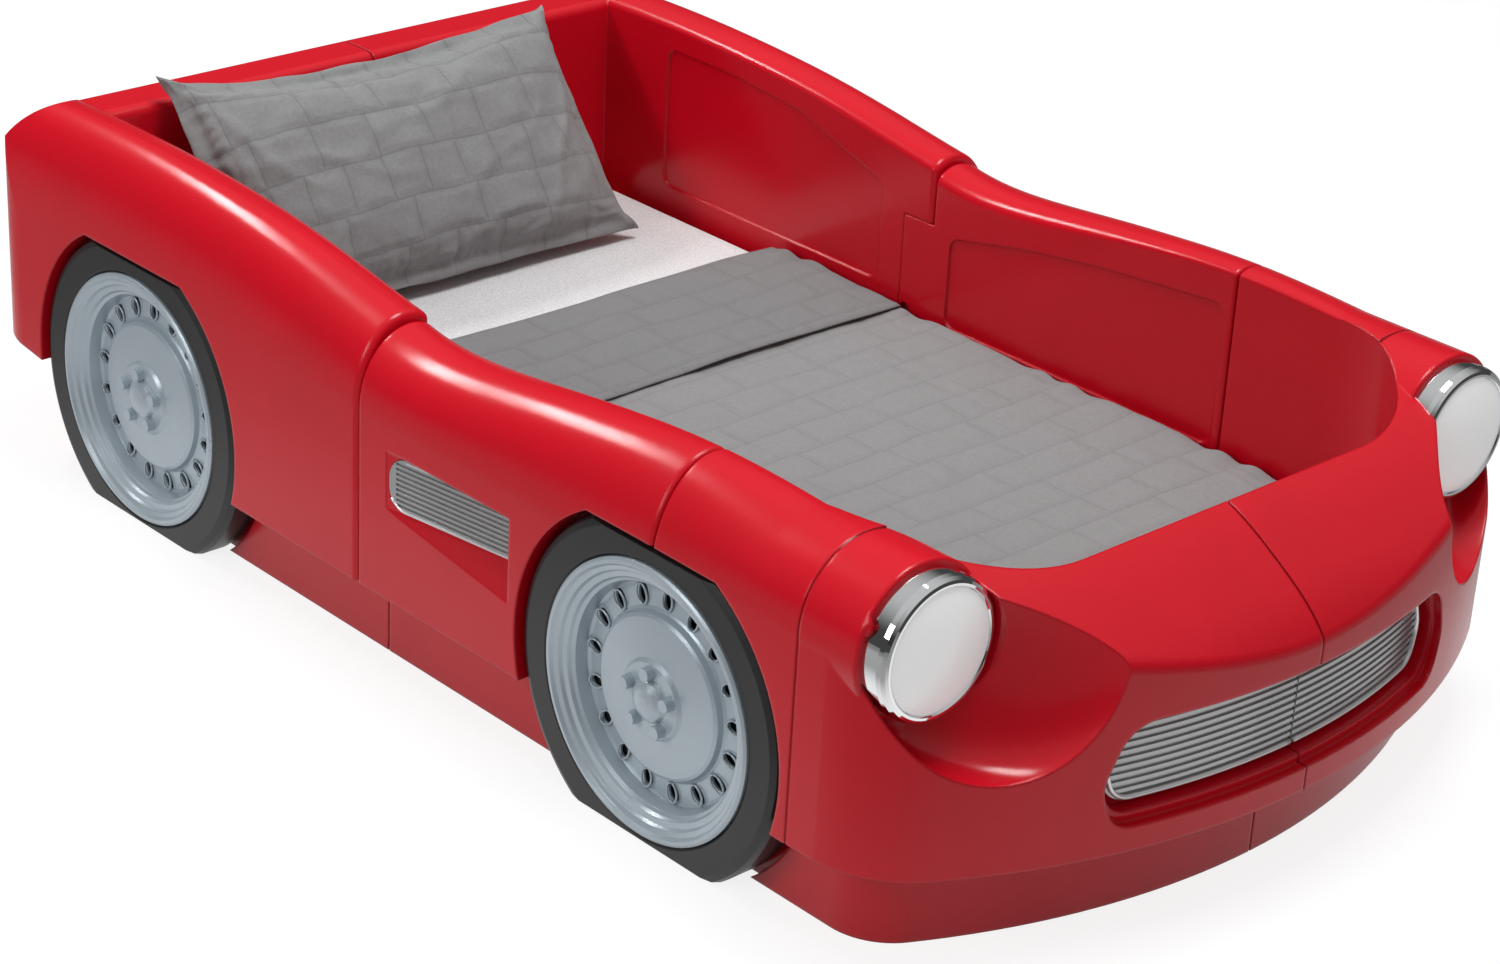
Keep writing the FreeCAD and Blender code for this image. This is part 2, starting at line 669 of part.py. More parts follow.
def right_body():
    """The whole right half of the body before it is parted into panels."""
    body = side_rail().fuse([head_wall(), hood_block(), barrel_neck()])
    body = body.cut(tail_wedge())
    body = body.cut(scoop())
    body = body.fuse([headlight_barrel().common(crown_side()), plinth()])
    body = body.cut(mattress_well())
    body = body.cut([grille_mouth(), vent_scoop(), vent_seat(),
                     wheel_arch(size("front_wheel_y")), wheel_arch(size("rear_wheel_y")),
                     lamp_bore()])
    body = body.cut([wall_recess(*HEAD_RECESS), wall_recess(*DOOR_RECESS)])
    return body.removeSplitter()


def crown_side():
    """Everything outside the well's inner wall, where the barrel may show."""
    return box(-HALF - 5, -1, NOSE, size("barrel_back_y") + 1, 0, ROOF)


def lamp_bore():
    """Bore in the barrel for the lamp housing, and room for the chrome ring before it."""
    front = LAMP - Vector(0, 5, 0)
    wide = rod(size("lens_radius") + 2, front, LAMP + Vector(0, size("housing_depth") + FIT, 0))
    tray = rod(size("tray_radius") + FIT, LAMP, LAMP + Vector(0, size("tray_depth") + FIT, 0))
    ring = rod(size("bezel_radius") + 1, LAMP, LAMP - Vector(0, size("bezel_depth") + 40, 0))
    return wide.fuse([tray, ring])


def barrel_neck():
    """Bridge under the fine parting line between the rail and the barrel."""
    back = size("barrel_back_y")
    start = back - 6
    end = RAIL_FOOT[0] + 4
    deep = size("line_depth")
    core = rod(size("barrel_radius") - deep, Vector(LAMP.x, start, LAMP.z),
               Vector(LAMP.x, end, LAMP.z))
    return core.fuse(box(-HALF + deep, -WELL - RAIL_FOOT[4] + 1, start, end, HEM, LAMP.z))


def small_screw(seat, inward):
    """Small pan-head screw: the head stands on the seat, the shank goes inward."""
    head = rod(size("small_head"), seat, seat - inward * size("small_head_height"))
    shank = rod(size("small_shank"), seat, seat + inward * size("small_length"))
    return head.fuse(shank)


def small_hole(seat, inward):
    """Hole that clears the shank of a small screw."""
    return rod(size("small_shank") + FIT, seat - inward * 6,
               seat + inward * (size("small_length") + 2))


def wheel_screw_places(wheel_y):
    """Seats of the screws of one right-hand wheel, on the floor of the hubcap's seat."""
    seat_x = -HALF + size("wheel_inset") + size("tyre_recess")
    count = int(size("wheel_screw_count"))
    ring = size("wheel_screw_ring")
    turns = [math.radians(360 / count * (step + 0.5)) for step in range(count)]
    return [Vector(seat_x, wheel_y + ring * math.cos(turn),
                   size("wheel_height") + ring * math.sin(turn)) for turn in turns]


def wheel_screw_hole(seat):
    """Hole of one wheel screw through the tyre and the back of its arch."""
    return rod(size("small_shank") + FIT, seat - Vector(1, 0, 0),
               seat + Vector(size("wheel_screw_length") + 2, 0, 0))


def plate_faces():
    """Each joining plate of the right half: middle of its seat, way in, and its long axis."""
    ledge = size("ledge_depth")
    level = size("plate_middle")
    return [
        (Vector(0, size("well_front_y") + ledge, level), Vector(0, -1, 0), Vector(1, 0, 0)),
        (Vector(0, size("well_rear_y") - ledge, level), Vector(0, 1, 0), Vector(1, 0, 0)),
        (Vector(-WELL + ledge, size("front_seam_y"), level), Vector(-1, 0, 0),
         Vector(0, 1, 0)),
    ]


def plate_screw_places():
    """Seats of the screws of the joining plates of the right half, on the plates."""
    reach = size("plate_length") / 2 - 20
    rise = size("plate_height") / 2 - 13
    places = []
    for middle, inward, along in plate_faces():
        face = middle - inward * size("plate_thickness")
        for ahead in (-reach, reach):
            for up in (-rise, rise):
                places.append((face + along * ahead + Vector(0, 0, up), inward))
    return places


def slat_starts():
    """Front edge of every slat."""
    count = int(size("slat_count"))
    front = size("well_front_y") + size("ledge_depth") + size("slat_inset")
    rear = size("well_rear_y") - size("ledge_depth") - 40 - size("slat_width")
    return [front + (rear - front) * step / (count - 1) for step in range(count)]


def slat_screw_places():
    """Seats of the slat screws of the right half, sunk into the slats."""
    level = size("ledge_height") + size("slat_thickness") - size("small_head_height") - 0.5
    across = -WELL + size("ledge_depth") / 2
    return [Vector(across, start + size("slat_width") / 2, level) for start in slat_starts()]


BODY = right_body()
SEAM_FRONT = size("front_seam_y")
SEAM_REAR = size("rear_seam_y")
CAVITIES = cavity_boxes()


def panel(front, rear, name):
    """One moulded panel of the right half, hollow inside."""
    part = BODY.common(box(-HALF - 5, -GAP / 2, front, rear, -5, ROOF))
    part = part.cut(CAVITIES[name])
    down = Vector(0, 0, -1)
    holes = [small_hole(seat, down) for seat in slat_screw_places()]
    holes += [small_hole(seat, inward) for seat, inward in plate_screw_places()]
    for wheel in ("front_wheel_y", "rear_wheel_y"):
        holes += [wheel_screw_hole(seat) for seat in wheel_screw_places(size(wheel))]
    return part.cut([hole for hole in holes if front < hole.CenterOfMass.y < rear])


def lap_holes(shape):
    """Counterbore and pilot hole of each lap screw."""
    for place in lap_screw_places():
        bore = rod(size("screw_bore") / 2, place + Vector(2, 0, 0), place - Vector(12, 0, 0))
        pilot = rod(size("screw_shank") / 2 + FIT, place, place - Vector(70, 0, 0))
        shape = shape.cut([bore, pilot])
    return shape


def add_shape(name, shape):
    """Put a finished moulding into the document."""
    feature = doc.addObject("Part::Feature", name)
    feature.Label = name
    feature.Shape = shape
    return feature


PARTS = []


def keep(feature):
    """Note a sub-part that is written out at the end."""
    PARTS.append(feature)
    return feature


def mirror_of(feature, name):
    """The same piece on the other side of the bed."""
    twin = doc.addObject("Part::Mirroring", name)
    twin.Label = name
    twin.Source = feature
    twin.Base = Vector(0, 0, 0)
    twin.Normal = Vector(1, 0, 0)
    return keep(twin)


def round_end(shape, along, radius):
    """Round the outer edges of a panel's end over the flank and the crown."""
    return round_edges(shape, radius, lambda edge: edge.BoundBox.YMax < along + 0.01
                       and edge.BoundBox.YMin > along - 0.01
                       and (edge.BoundBox.ZMax > 500 or edge.BoundBox.XMin < -HALF + 1)
                       and edge.BoundBox.XMax < -WELL + 1
                       and edge.BoundBox.ZMax > HEM + 60 and edge.Length > 20)


front_panel = round_end(panel(NOSE - 5, SEAM_FRONT - GAP / 2, "front"), SEAM_FRONT - GAP / 2,
                        size("front_end_rounding"))
door_panel = panel(SEAM_FRONT + GAP / 2, SEAM_REAR - GAP / 2, "door")
door_panel = round_end(door_panel, SEAM_FRONT + GAP / 2, size("seam_rounding"))
door_panel = round_end(door_panel, SEAM_REAR - GAP / 2, size("seam_rounding"))
tongue = lap_tongue(0).common(box(-HALF, 0, SEAM_REAR - 40, TAIL, 0, ROOF))
door_panel = lap_holes(door_panel.fuse(tongue))
rear_panel = round_end(panel(SEAM_REAR + GAP / 2, TAIL + 5, "rear"), SEAM_REAR + GAP / 2,
                       size("rear_end_rounding"))
rear_panel = lap_holes(rear_panel.cut(lap_tongue(1)))

keep(add_shape("front_right_panel", front_panel))
keep(add_shape("right_door_panel", door_panel))
keep(add_shape("rear_right_panel", rear_panel))
mirror_of(PARTS[0], "front_left_panel")
mirror_of(PARTS[1], "left_door_panel")
mirror_of(PARTS[2], "rear_left_panel")

# ---------------------------------------------------------------- bound sketches


def origin_plane(body, role):
    """A base plane of a body's own origin."""
    return next(item for item in body.Origin.OriginFeatures if item.Role == role)


def new_body(name):
    """Empty body whose label names its file."""
    body = doc.addObject("PartDesign::Body", name)
    body.Label = name
    return body


def new_sketch(body, role, name, lift="0"):
    """Sketch on an origin plane, lifted off it by an expression."""
    sketch = body.newObject("Sketcher::SketchObject", name)
    sketch.AttachmentSupport = (origin_plane(body, role), [""])
    sketch.MapMode = "FlatFace"
    if lift != "0":
        sketch.setExpression("AttachmentOffset.Base.z", lift)
    return sketch


def measure(expression):
    """Value of an expression over the driving dimensions."""
    return float(sizes.evalExpression(expression.replace("sizes.", "")))


def bound_outline(sketch, corners):
    """Closed outline whose corners are held at pairs of expressions over the sheet."""
    places = [Vector(measure(across), measure(up), 0) for across, up in corners]
    count = len(places)
    for index, place in enumerate(places):
        sketch.addGeometry(Part.LineSegment(place, places[(index + 1) % count]), False)
    for index in range(count):
        sketch.addConstraint(Sketcher.Constraint("Coincident", index, 2, (index + 1) % count, 1))
    for index, (corner, place) in enumerate(zip(corners, places)):
        bind_point(sketch, index, corner, place)


def bind_point(sketch, index, corner, place):
    """Hold the start of a line at its two expressions."""
    for kind, axis, expression, value in (("DistanceX", -2, corner[0], place.x),
                                          ("DistanceY", -1, corner[1], place.y)):
        if abs(value) < 0.000001:
            sketch.addConstraint(Sketcher.Constraint("PointOnObject", index, 1, axis))
            continue
        number = sketch.addConstraint(Sketcher.Constraint(kind, -1, 1, index, 1, value))
        sketch.setExpression(f"Constraints[{number}]", expression)


def bound_circle(sketch, across, up, radius):
    """Circle whose centre and radius are held at expressions over the sheet."""
    centre = Vector(measure(across), measure(up), 0)
    number = sketch.addGeometry(Part.Circle(centre, Vector(0, 0, 1), measure(radius)), False)
    held = sketch.addConstraint(Sketcher.Constraint("Radius", number, measure(radius)))
    sketch.setExpression(f"Constraints[{held}]", radius)
    for kind, axis, expression, value in (("DistanceX", -2, across, centre.x),
                                          ("DistanceY", -1, up, centre.y)):
        if abs(value) < 0.000001:
            sketch.addConstraint(Sketcher.Constraint("PointOnObject", number, 3, axis))
            continue
        held = sketch.addConstraint(Sketcher.Constraint(kind, -1, 1, number, 3, value))
        sketch.setExpression(f"Constraints[{held}]", expression)


def revolve(body, corners, name):
    """Solid of revolution about the body's Z axis; corners are radius and height."""
    sketch = new_sketch(body, "XZ_Plane", name + "_sketch")
    bound_outline(sketch, corners)
    turn = body.newObject("PartDesign::Revolution", name)
    turn.Profile = sketch
    turn.ReferenceAxis = (sketch, ["V_Axis"])
    turn.Angle = 360
    sketch.Visibility = False
    return turn


def cut_through(body, sketch, name):
    """Pocket right through the body, both ways from its sketch."""
    pocket = body.newObject("PartDesign::Pocket", name)
    pocket.Profile = sketch
    pocket.Type = 1
    pocket.Midplane = True
    return pocket


def around(body, feature, count, name):
    """Repeat a feature in a ring about the body's Z axis."""
    ring = body.newObject("PartDesign::PolarPattern", name)
    ring.Originals = [feature]
    axis = next(item for item in body.Origin.OriginFeatures if item.Role == "Z_Axis")
    ring.Axis = (axis, [""])
    ring.Angle = 360
    ring.setExpression("Occurrences", count)
    body.Tip = ring
    return ring


def place_outward(body, y_expression, inset):
    """Turn a body so that its Z axis points out of the right flank."""
    body.Placement = Placement(Vector(0, 0, 0), Rotation(Vector(0, 1, 0), -90))
    body.setExpression("Placement.Base.x", f"{FLANK_CELLS} + {inset}")
    body.setExpression("Placement.Base.y", y_expression)
    body.setExpression("Placement.Base.z", "sizes.wheel_height")
    keep(body)


# ---------------------------------------------------------------- wheels


def make_tyre(name, wheel_y):
    """Fixed tyre: a turned moulding with a seat for the hubcap, flat above and below."""
    body = new_body(name)
    shoulder = "sizes.tyre_shoulder"
    revolve(body, [
        ("0", "-sizes.tyre_depth"),
        (f"sizes.tyre_radius - {shoulder}", "-sizes.tyre_depth"),
        ("sizes.tyre_radius", f"-sizes.tyre_depth + {shoulder}"),
        ("sizes.tyre_radius", f"-{shoulder}"),
        (f"sizes.tyre_radius - {shoulder} * 0.3", f"-{shoulder} * 0.3"),
        (f"sizes.tyre_radius - {shoulder}", "0"),
        ("sizes.rim_radius + 5", "0"),
        ("sizes.rim_radius + sizes.fit", "-4"),
        ("sizes.rim_radius + sizes.fit", "-sizes.tyre_recess"),
        ("0", "-sizes.tyre_recess"),
    ], name + "_turning")
    ground = new_sketch(body, "XY_Plane", name + "_ground")
    bound_outline(ground, [
        ("-sizes.tyre_radius - 20", "-sizes.tyre_radius - 20"),
        ("-sizes.wheel_height", "-sizes.tyre_radius - 20"),
        ("-sizes.wheel_height", "sizes.tyre_radius + 20"),
        ("-sizes.tyre_radius - 20", "sizes.tyre_radius + 20"),
    ])
    cut_through(body, ground, name + "_ground_flat")
    top = new_sketch(body, "XY_Plane", name + "_top")
    bound_outline(top, [
        ("sizes.tyre_top - sizes.wheel_height", "-sizes.tyre_radius - 20"),
        ("sizes.tyre_radius + 20", "-sizes.tyre_radius - 20"),
        ("sizes.tyre_radius + 20", "sizes.tyre_radius + 20"),
        ("sizes.tyre_top - sizes.wheel_height", "sizes.tyre_radius + 20"),
    ])
    cut_through(body, top, name + "_top_flat")
    screw = new_sketch(body, "XY_Plane", name + "_screw")
    ring = "sizes.wheel_screw_ring"
    turn = "180 deg / sizes.wheel_screw_count"
    bound_circle(screw, f"{ring} * cos({turn})", f"{ring} * sin({turn})",
                 "sizes.small_shank + sizes.fit")
    hole = cut_through(body, screw, name + "_screw_hole")
    around(body, hole, "sizes.wheel_screw_count", name + "_screw_holes")
    place_outward(body, wheel_y, "sizes.wheel_inset")
    return body


def make_hubcap(name, wheel_y):
    """Dished hubcap: stepped rim, ring of vents, raised hub with lug nuts and a dome."""
    body = new_body(name)
    rim = "sizes.rim_radius"
    ring = "sizes.vent_ring"
    revolve(body, [
        ("0", "-11"),
        ("30", "-14"),
        ("56", "-19"),
        (f"{ring} - 27", "-27"),
        (f"{ring} - 21", "-40"),
        (f"{ring} + 20", "-44"),
        (f"{ring} + 27", "-22"),
        (f"{ring} + 40", "-13"),
        (f"{rim} - 12", "-6"),
        (rim, "-6"),
        (rim, "1"),
        (f"{rim} - 4", "4"),
        (f"{rim} - 9", "4"),
        (f"{rim} - 13", "-1"),
        (f"{ring} + 42", "-4"),
        (f"{ring} + 39", "-9"),
        (f"{ring} + 31", "-11"),
        (f"{ring} + 28", "-16"),
        (f"{ring} + 23", "-19"),
        (f"{ring} + 18", "-37"),
        (f"{ring} + 13", "-40"),
        (f"{ring} - 16", "-36"),
        (f"{ring} - 20", "-33"),
        (f"{ring} - 23", "-25"),
        (f"{ring} - 28", "-22"),
        ("60", "-15"),
        ("55", "-10"),
        ("33", "-10"),
        ("29", "-4"),
        ("20", "1"),
        ("9", "3.6"),
        ("0", "4.2"),
    ], name + "_turning")
    vent = new_sketch(body, "XY_Plane", name + "_vent")
    oval = Part.Ellipse(Vector(size("vent_ring"), 0, 0), size("vent_length") / 2,
                        size("vent_width") / 2)
    number = vent.addGeometry(oval, False)
    vent.exposeInternalGeometry(number)
    vent.addConstraint(Sketcher.Constraint("Block", number))
    hole = cut_through(body, vent, name + "_vent_hole")
    around(body, hole, "sizes.vent_count", name + "_vents")
    lug = new_sketch(body, "XY_Plane", name + "_lug", "-12")
    bound_circle(lug, "sizes.lug_ring", "0", "10.5")
    nut = body.newObject("PartDesign::Pad", name + "_lug_nut")
    nut.Profile = lug
    nut.Length = 16
    nut.TaperAngle = -4
    around(body, nut, "sizes.lug_count", name + "_lugs")
    place_outward(body, wheel_y, "sizes.wheel_inset")
    return body


for end in ("front", "rear"):
    where = f"sizes.{end}_wheel_y"
    tyre = make_tyre(f"{end}_right_tyre", where)
    hubcap = make_hubcap(f"{end}_right_hubcap", where)
    mirror_of(tyre, f"{end}_left_tyre")
    mirror_of(hubcap, f"{end}_left_hubcap")


# ---------------------------------------------------------------- headlights


def place_ahead(body, y_expression):
    """Turn a body so that its Z axis points to the nose, on the headlight's axis."""
    body.Placement = Placement(Vector(0, 0, 0), Rotation(Vector(1, 0, 0), 90))
    body.setExpression("Placement.Base.x",
                       f"{FLANK_CELLS} + sizes.barrel_radius")
    body.setExpression("Placement.Base.y", y_expression)
    body.setExpression("Placement.Base.z", "sizes.lamp_height")
    keep(body)


def make_bezel():
    """Chrome ring that is pushed over the lamp housing onto the end of the barrel."""
    body = new_body("right_headlight_bezel")
    outer = "sizes.bezel_radius"
    inner = "sizes.lens_radius + sizes.fit * 2"
    deep = "sizes.bezel_depth"
    revolve(body, [
        (inner, "0"),
        (outer, "0"),
        (outer, f"{deep} - 14"),
        (f"{outer} - 1.5", f"{deep} - 7"),
        (f"{outer} - 5", f"{deep} - 2"),
        (f"{outer} - 9", deep),
        (f"{inner} + 1.5", deep),
        (inner, f"{deep} - 2"),
    ], "bezel_turning")
    place_ahead(body, "sizes.barrel_front_y")
    return body


def make_lens():
    """Frosted domed lens with a skirt; it is the push button of the light."""
    body = new_body("right_headlight_lens")
    rim = "sizes.lens_radius"
    dome = "sizes.lens_dome"
    wall = "sizes.lens_wall"
    revolve(body, [
        ("0", f"{dome} - {wall}"),
        (f"{rim} * 0.35", f"{dome} * 0.88 - {wall}"),
        (f"{rim} * 0.65", f"{dome} * 0.60 - {wall}"),
        (f"{rim} * 0.88", f"{dome} * 0.25 - {wall}"),
        (f"{rim} - {wall}", f"-{wall} - 1"),
        (f"{rim} - {wall}", "-sizes.lens_skirt"),
        (rim, "-sizes.lens_skirt"),
        (rim, "-2"),
        (f"{rim} - 1", f"{dome} * 0.05"),
        (f"{rim} * 0.90", f"{dome} * 0.25"),
        (f"{rim} * 0.78", f"{dome} * 0.44"),
        (f"{rim} * 0.65", f"{dome} * 0.61"),
        (f"{rim} * 0.50", f"{dome} * 0.77"),
        (f"{rim} * 0.35", f"{dome} * 0.89"),
        (f"{rim} * 0.18", f"{dome} * 0.97"),
        ("0", dome),
    ], "lens_turning")
    place_ahead(body, "sizes.barrel_front_y - sizes.bezel_depth + 3")
    return body


def make_housing():
    """Cup in the barrel that holds the light board, with the battery tray behind it."""
    body = new_body("right_lamp_housing")
    outer = "sizes.lens_radius + 2 - sizes.fit"
    wall = "sizes.housing_wall"
    deep = "sizes.housing_depth"
    tray = "sizes.tray_radius"
    back = "sizes.tray_depth"
    revolve(body, [
        ("0", f"-{back}"),
        (tray, f"-{back}"),
        (tray, f"-{deep}"),
        (outer, f"-{deep}"),
        (outer, "-0.3"),
        (f"{outer} - {wall}", "-0.3"),
        (f"{outer} - {wall}", f"-{deep} + {wall}"),
        (f"{tray} - {wall}", f"-{deep} + {wall}"),
        (f"{tray} - {wall}", f"-{back} + {wall}"),
        ("0", f"-{back} + {wall}"),
    ], "housing_turning")
    place_ahead(body, "sizes.barrel_front_y")
    return body


def make_board():
    """Round light board over the battery tray, with six diodes and the push switch."""
    body = new_body("right_light_board")
    foot = "-sizes.housing_depth + sizes.housing_wall"
    for part, radius, lift, thick in (("board_disc", "sizes.tray_radius + 14", foot, 1.6),
                                      ("switch", "6", f"{foot} + 1.6", 5)):
        sketch = new_sketch(body, "XY_Plane", part + "_outline", lift)
        bound_circle(sketch, "0", "0", radius)
        pad = body.newObject("PartDesign::Pad", part)
        pad.Profile = sketch
        pad.Length = thick
    diode_sketch = new_sketch(body, "XY_Plane", "diode_outline", f"{foot} + 1.6")
    bound_circle(diode_sketch, "sizes.tray_radius", "0", "3")
    diode = body.newObject("PartDesign::Pad", "diode")
    diode.Profile = diode_sketch
    diode.Length = 2
    around(body, diode, "6", "diodes")
    place_ahead(body, "sizes.barrel_front_y")
    return body


def make_carrier():
    """Plate in the lens skirt; its stem presses the switch and its rim takes the spring."""
    body = new_body("right_lens_carrier")
    reach = ("sizes.bezel_depth - 3 - sizes.lens_skirt + sizes.housing_depth"
             " - sizes.housing_wall - 6.6 - sizes.switch_gap")
    thick = "sizes.lens_wall"
    revolve(body, [
        ("0", f"-({reach})"),
        ("4", f"-({reach})"),
        ("4", "0"),
        ("sizes.lens_radius - sizes.lens_wall - sizes.fit", "0"),
        ("sizes.lens_radius - sizes.lens_wall - sizes.fit", thick),
        ("0", thick),
    ], "carrier_turning")
    place_ahead(body, "sizes.barrel_front_y - sizes.bezel_depth + 3 + sizes.lens_skirt")
    return body


def make_lamp_spring():
    """Return spring of the lens, coiled round the carrier's stem."""
    radius = 13.0
    wire = 0.9
    turns = 4
    steps = 10
    floor = -size("housing_depth") + size("housing_wall") + 1.6 + wire + FIT
    seat = size("bezel_depth") - 3 - size("lens_skirt") - wire - FIT
    points = []
    for step in range(turns * steps + 1):
        turn = 2 * math.pi * step / steps
        points.append(Vector(radius * math.cos(turn), radius * math.sin(turn),
                             floor + (seat - floor) * step / (turns * steps)))
    spine = Part.makePolygon(points)
    ring = Part.Wire(Part.makeCircle(wire, points[0], points[1] - points[0]))
    coil = spine.makePipeShell([ring], True, False, 1)
    coil.Placement = Placement(LAMP, Rotation(Vector(1, 0, 0), 90))
    return keep(add_shape("right_lamp_spring", coil))


def make_cells():
    """Three cells side by side across the battery tray."""
    length = size("cell_length")
    radius = size("cell_radius")
    middle = LAMP + Vector(0, size("tray_depth") - size("housing_wall") - radius - FIT, 0)
    cells = []
    for step in (-1, 0, 1):
        along = length / 2 - abs(step) * 1.5
        start = middle + Vector(-along, 0, step * (2 * radius + 0.4))
        end = middle + Vector(along - 1, 0, step * (2 * radius + 0.4))
        cells.append(rod(radius, start, end).fuse(rod(1.9, end, end + Vector(1, 0, 0))))
    return keep(add_shape("right_lamp_cells", Part.makeCompound(cells)))


bezel = make_bezel()
lens = make_lens()
carrier = make_carrier()
housing = make_housing()
board = make_board()
spring = make_lamp_spring()
cells = make_cells()
for piece, twin in ((bezel, "left_headlight_bezel"), (lens, "left_headlight_lens"),
                    (carrier, "left_lens_carrier"), (housing, "left_lamp_housing"),
                    (board, "left_light_board"), (spring, "left_lamp_spring"),
                    (cells, "left_lamp_cells")):
    mirror_of(piece, twin)

# ---------------------------------------------------------------- grille and side vents


def make_grille():
    """Ribbed insert that lies against the back of the grille mouth and follows the nose."""
    inset = 20
    outline = mouth_outline(size("mouth_half_width") - inset, size("grille_bottom"),
                            size("mouth_top") + 1)
    back = size("mouth_depth") - FIT
    face = back - size("grille_plate")
    crest = face - size("rib_height")
    plate = outline.common(nose_ring(back, face))
    rim = 7.0
    field = mouth_outline(size("mouth_half_width") - inset - rim, size("grille_bottom") + rim,
                          size("mouth_top") + 1)
    border = outline.cut(field).common(nose_ring(back, crest))
    pitch = (size("mouth_top") - size("grille_bottom") - rim) / size("grille_ribs")
    ribs = nose_ring(face + 1, crest).common(field)
    bars = [box(-HALF, 0, NOSE - 5, NOSE + 200, low, low + pitch * 0.55)
            for low in (size("grille_bottom") + rim + pitch * (step + 0.4)
                        for step in range(int(size("grille_ribs"))))]
    ribs = ribs.common(Part.makeCompound(bars))
    insert = plate.fuse([border, ribs]).removeSplitter()
    clip = box(-HALF, -GAP / 2, NOSE - 5, NOSE + 200, 0, size("mouth_top") - 1)
    return keep(add_shape("right_grille", insert.common(clip)))


def make_side_vent():
    """Ribbed insert sunk into the slanted back of the vent scoop, rounder at its rear end."""
    body = new_body("right_side_vent")
    plate_sketch = new_sketch(body, "XY_Plane", "vent_plate_outline")
    for index, piece in enumerate(vent_outline(0)):
        plate_sketch.addGeometry(piece, False)
        plate_sketch.addConstraint(Sketcher.Constraint("Block", index))
    plate = body.newObject("PartDesign::Pad", "vent_plate")
    plate.Profile = plate_sketch
    plate.setExpression("Length", "sizes.vent_plate + sizes.rib_height")
    doc.recompute()
    pitch = (VENT_HEIGHT - 12) / size("vent_ribs")
    groove_sketch = new_sketch(body, "XY_Plane", "vent_groove_outline",
                               "sizes.vent_plate + sizes.rib_height")
    low = 6 + pitch * 0.25
    rectangle(groove_sketch, VENT_HEIGHT * 0.16, VENT_LENGTH - 8, low, low + pitch * 0.5)
    groove = body.newObject("PartDesign::Pocket", "vent_groove")
    groove.Profile = groove_sketch
    groove.setExpression("Length", "sizes.rib_height")
    grooves = body.newObject("PartDesign::LinearPattern", "vent_grooves")
    grooves.Originals = [groove]
    axis = next(item for item in body.Origin.OriginFeatures if item.Role == "Y_Axis")
    grooves.Direction = (axis, [""])
    grooves.Length = pitch * (size("vent_ribs") - 1)
    grooves.setExpression("Occurrences", "sizes.vent_ribs")
    body.Tip = grooves
    body.Placement = vent_placement()
    return keep(body)


def rectangle(sketch, x0, x1, y0, y1):
    """Plain rectangle in a sketch."""
    corners = [Vector(x0, y0, 0), Vector(x1, y0, 0), Vector(x1, y1, 0), Vector(x0, y1, 0)]
    for index, corner in enumerate(corners):
        sketch.addGeometry(Part.LineSegment(corner, corners[(index + 1) % 4]), False)
    for index in range(4):
        sketch.addConstraint(Sketcher.Constraint("Coincident", index, 2, (index + 1) % 4, 1))


grille = make_grille()
mirror_of(grille, "left_grille")
side_vent = make_side_vent()
mirror_of(side_vent, "left_side_vent")

# ---------------------------------------------------------------- fasteners


def pan_screw(head_face, inward, length, head_radius, shank_radius):
    """Round-headed screw whose head face lies at a point and whose shank runs inward."""
    head = rod(head_radius, head_face, head_face + inward * 4)
    shank = rod(shank_radius, head_face + inward * 4, head_face + inward * length)
    return head.fuse(shank)


def both_sides(solids):
    """The given solids and their mirror images, as one group."""
    twins = [solid.mirror(Vector(0, 0, 0), Vector(1, 0, 0)) for solid in solids]
    return Part.makeCompound(solids + twins)


def lap_screws():
    """Screws that clamp the door panel's tongue to the rear panel."""
    inward = Vector(-1, 0, 0)
    seat = size("screw_bore") / 2 - 2
    return both_sides([pan_screw(place + inward * 8, inward, 40, seat,
                                 size("screw_shank") / 2)
                       for place in lap_screw_places()])


def wheel_screws():
    """Screws under the hubcaps that hold the tyres in their arches."""
    inward = Vector(1, 0, 0)
    screws = []
    for wheel in ("front_wheel_y", "rear_wheel_y"):
        for seat in wheel_screw_places(size(wheel)):
            head = rod(size("small_head"), seat, seat - inward * size("small_head_height"))
            shank = rod(size("small_shank"), seat, seat + inward * size("wheel_screw_length"))
            screws.append(head.fuse(shank))
    return both_sides(screws)


def joining_plates():
    """Flat steel plates under the slats across the nose, tail and front side seams."""
    half = Vector(size("plate_length") / 2, 0, size("plate_height") / 2)
    plates = []
    for middle, inward, along in plate_faces():
        thick = inward * size("plate_thickness")
        corners = [middle + along * (half.x * ahead) + Vector(0, 0, half.z * up) - thick
                   for ahead, up in ((-1, -1), (1, -1), (1, 1), (-1, 1))]
        plate = extrude(polygon(corners), thick)
        holes = [small_hole(seat, way) for seat, way in plate_screw_places()]
        plates.append(plate.cut(holes))
    side = plates[-1]
    return Part.makeCompound(plates + [side.mirror(Vector(0, 0, 0), Vector(1, 0, 0))])


def plate_screws():
    """Screws of the joining plates."""
    screws = [(seat, small_screw(seat, inward)) for seat, inward in plate_screw_places()]
    on_side = [screw for seat, screw in screws if abs(seat.x) > size("plate_length")]
    at_ends = [screw for seat, screw in screws if abs(seat.x) < size("plate_length")]
    return Part.makeCompound(at_ends + both_sides(on_side).Solids)


def slat_screws():
    """Screws through the ends of the slats into the ledges."""
    return both_sides([small_screw(seat, Vector(0, 0, -1)) for seat in slat_screw_places()])


keep(add_shape("lap_screws", lap_screws()))
keep(add_shape("wheel_screws", wheel_screws()))
keep(add_shape("joining_plates", joining_plates()))
keep(add_shape("plate_screws", plate_screws()))
keep(add_shape("slat_screws", slat_screws()))

# ---------------------------------------------------------------- mattress support and bedding


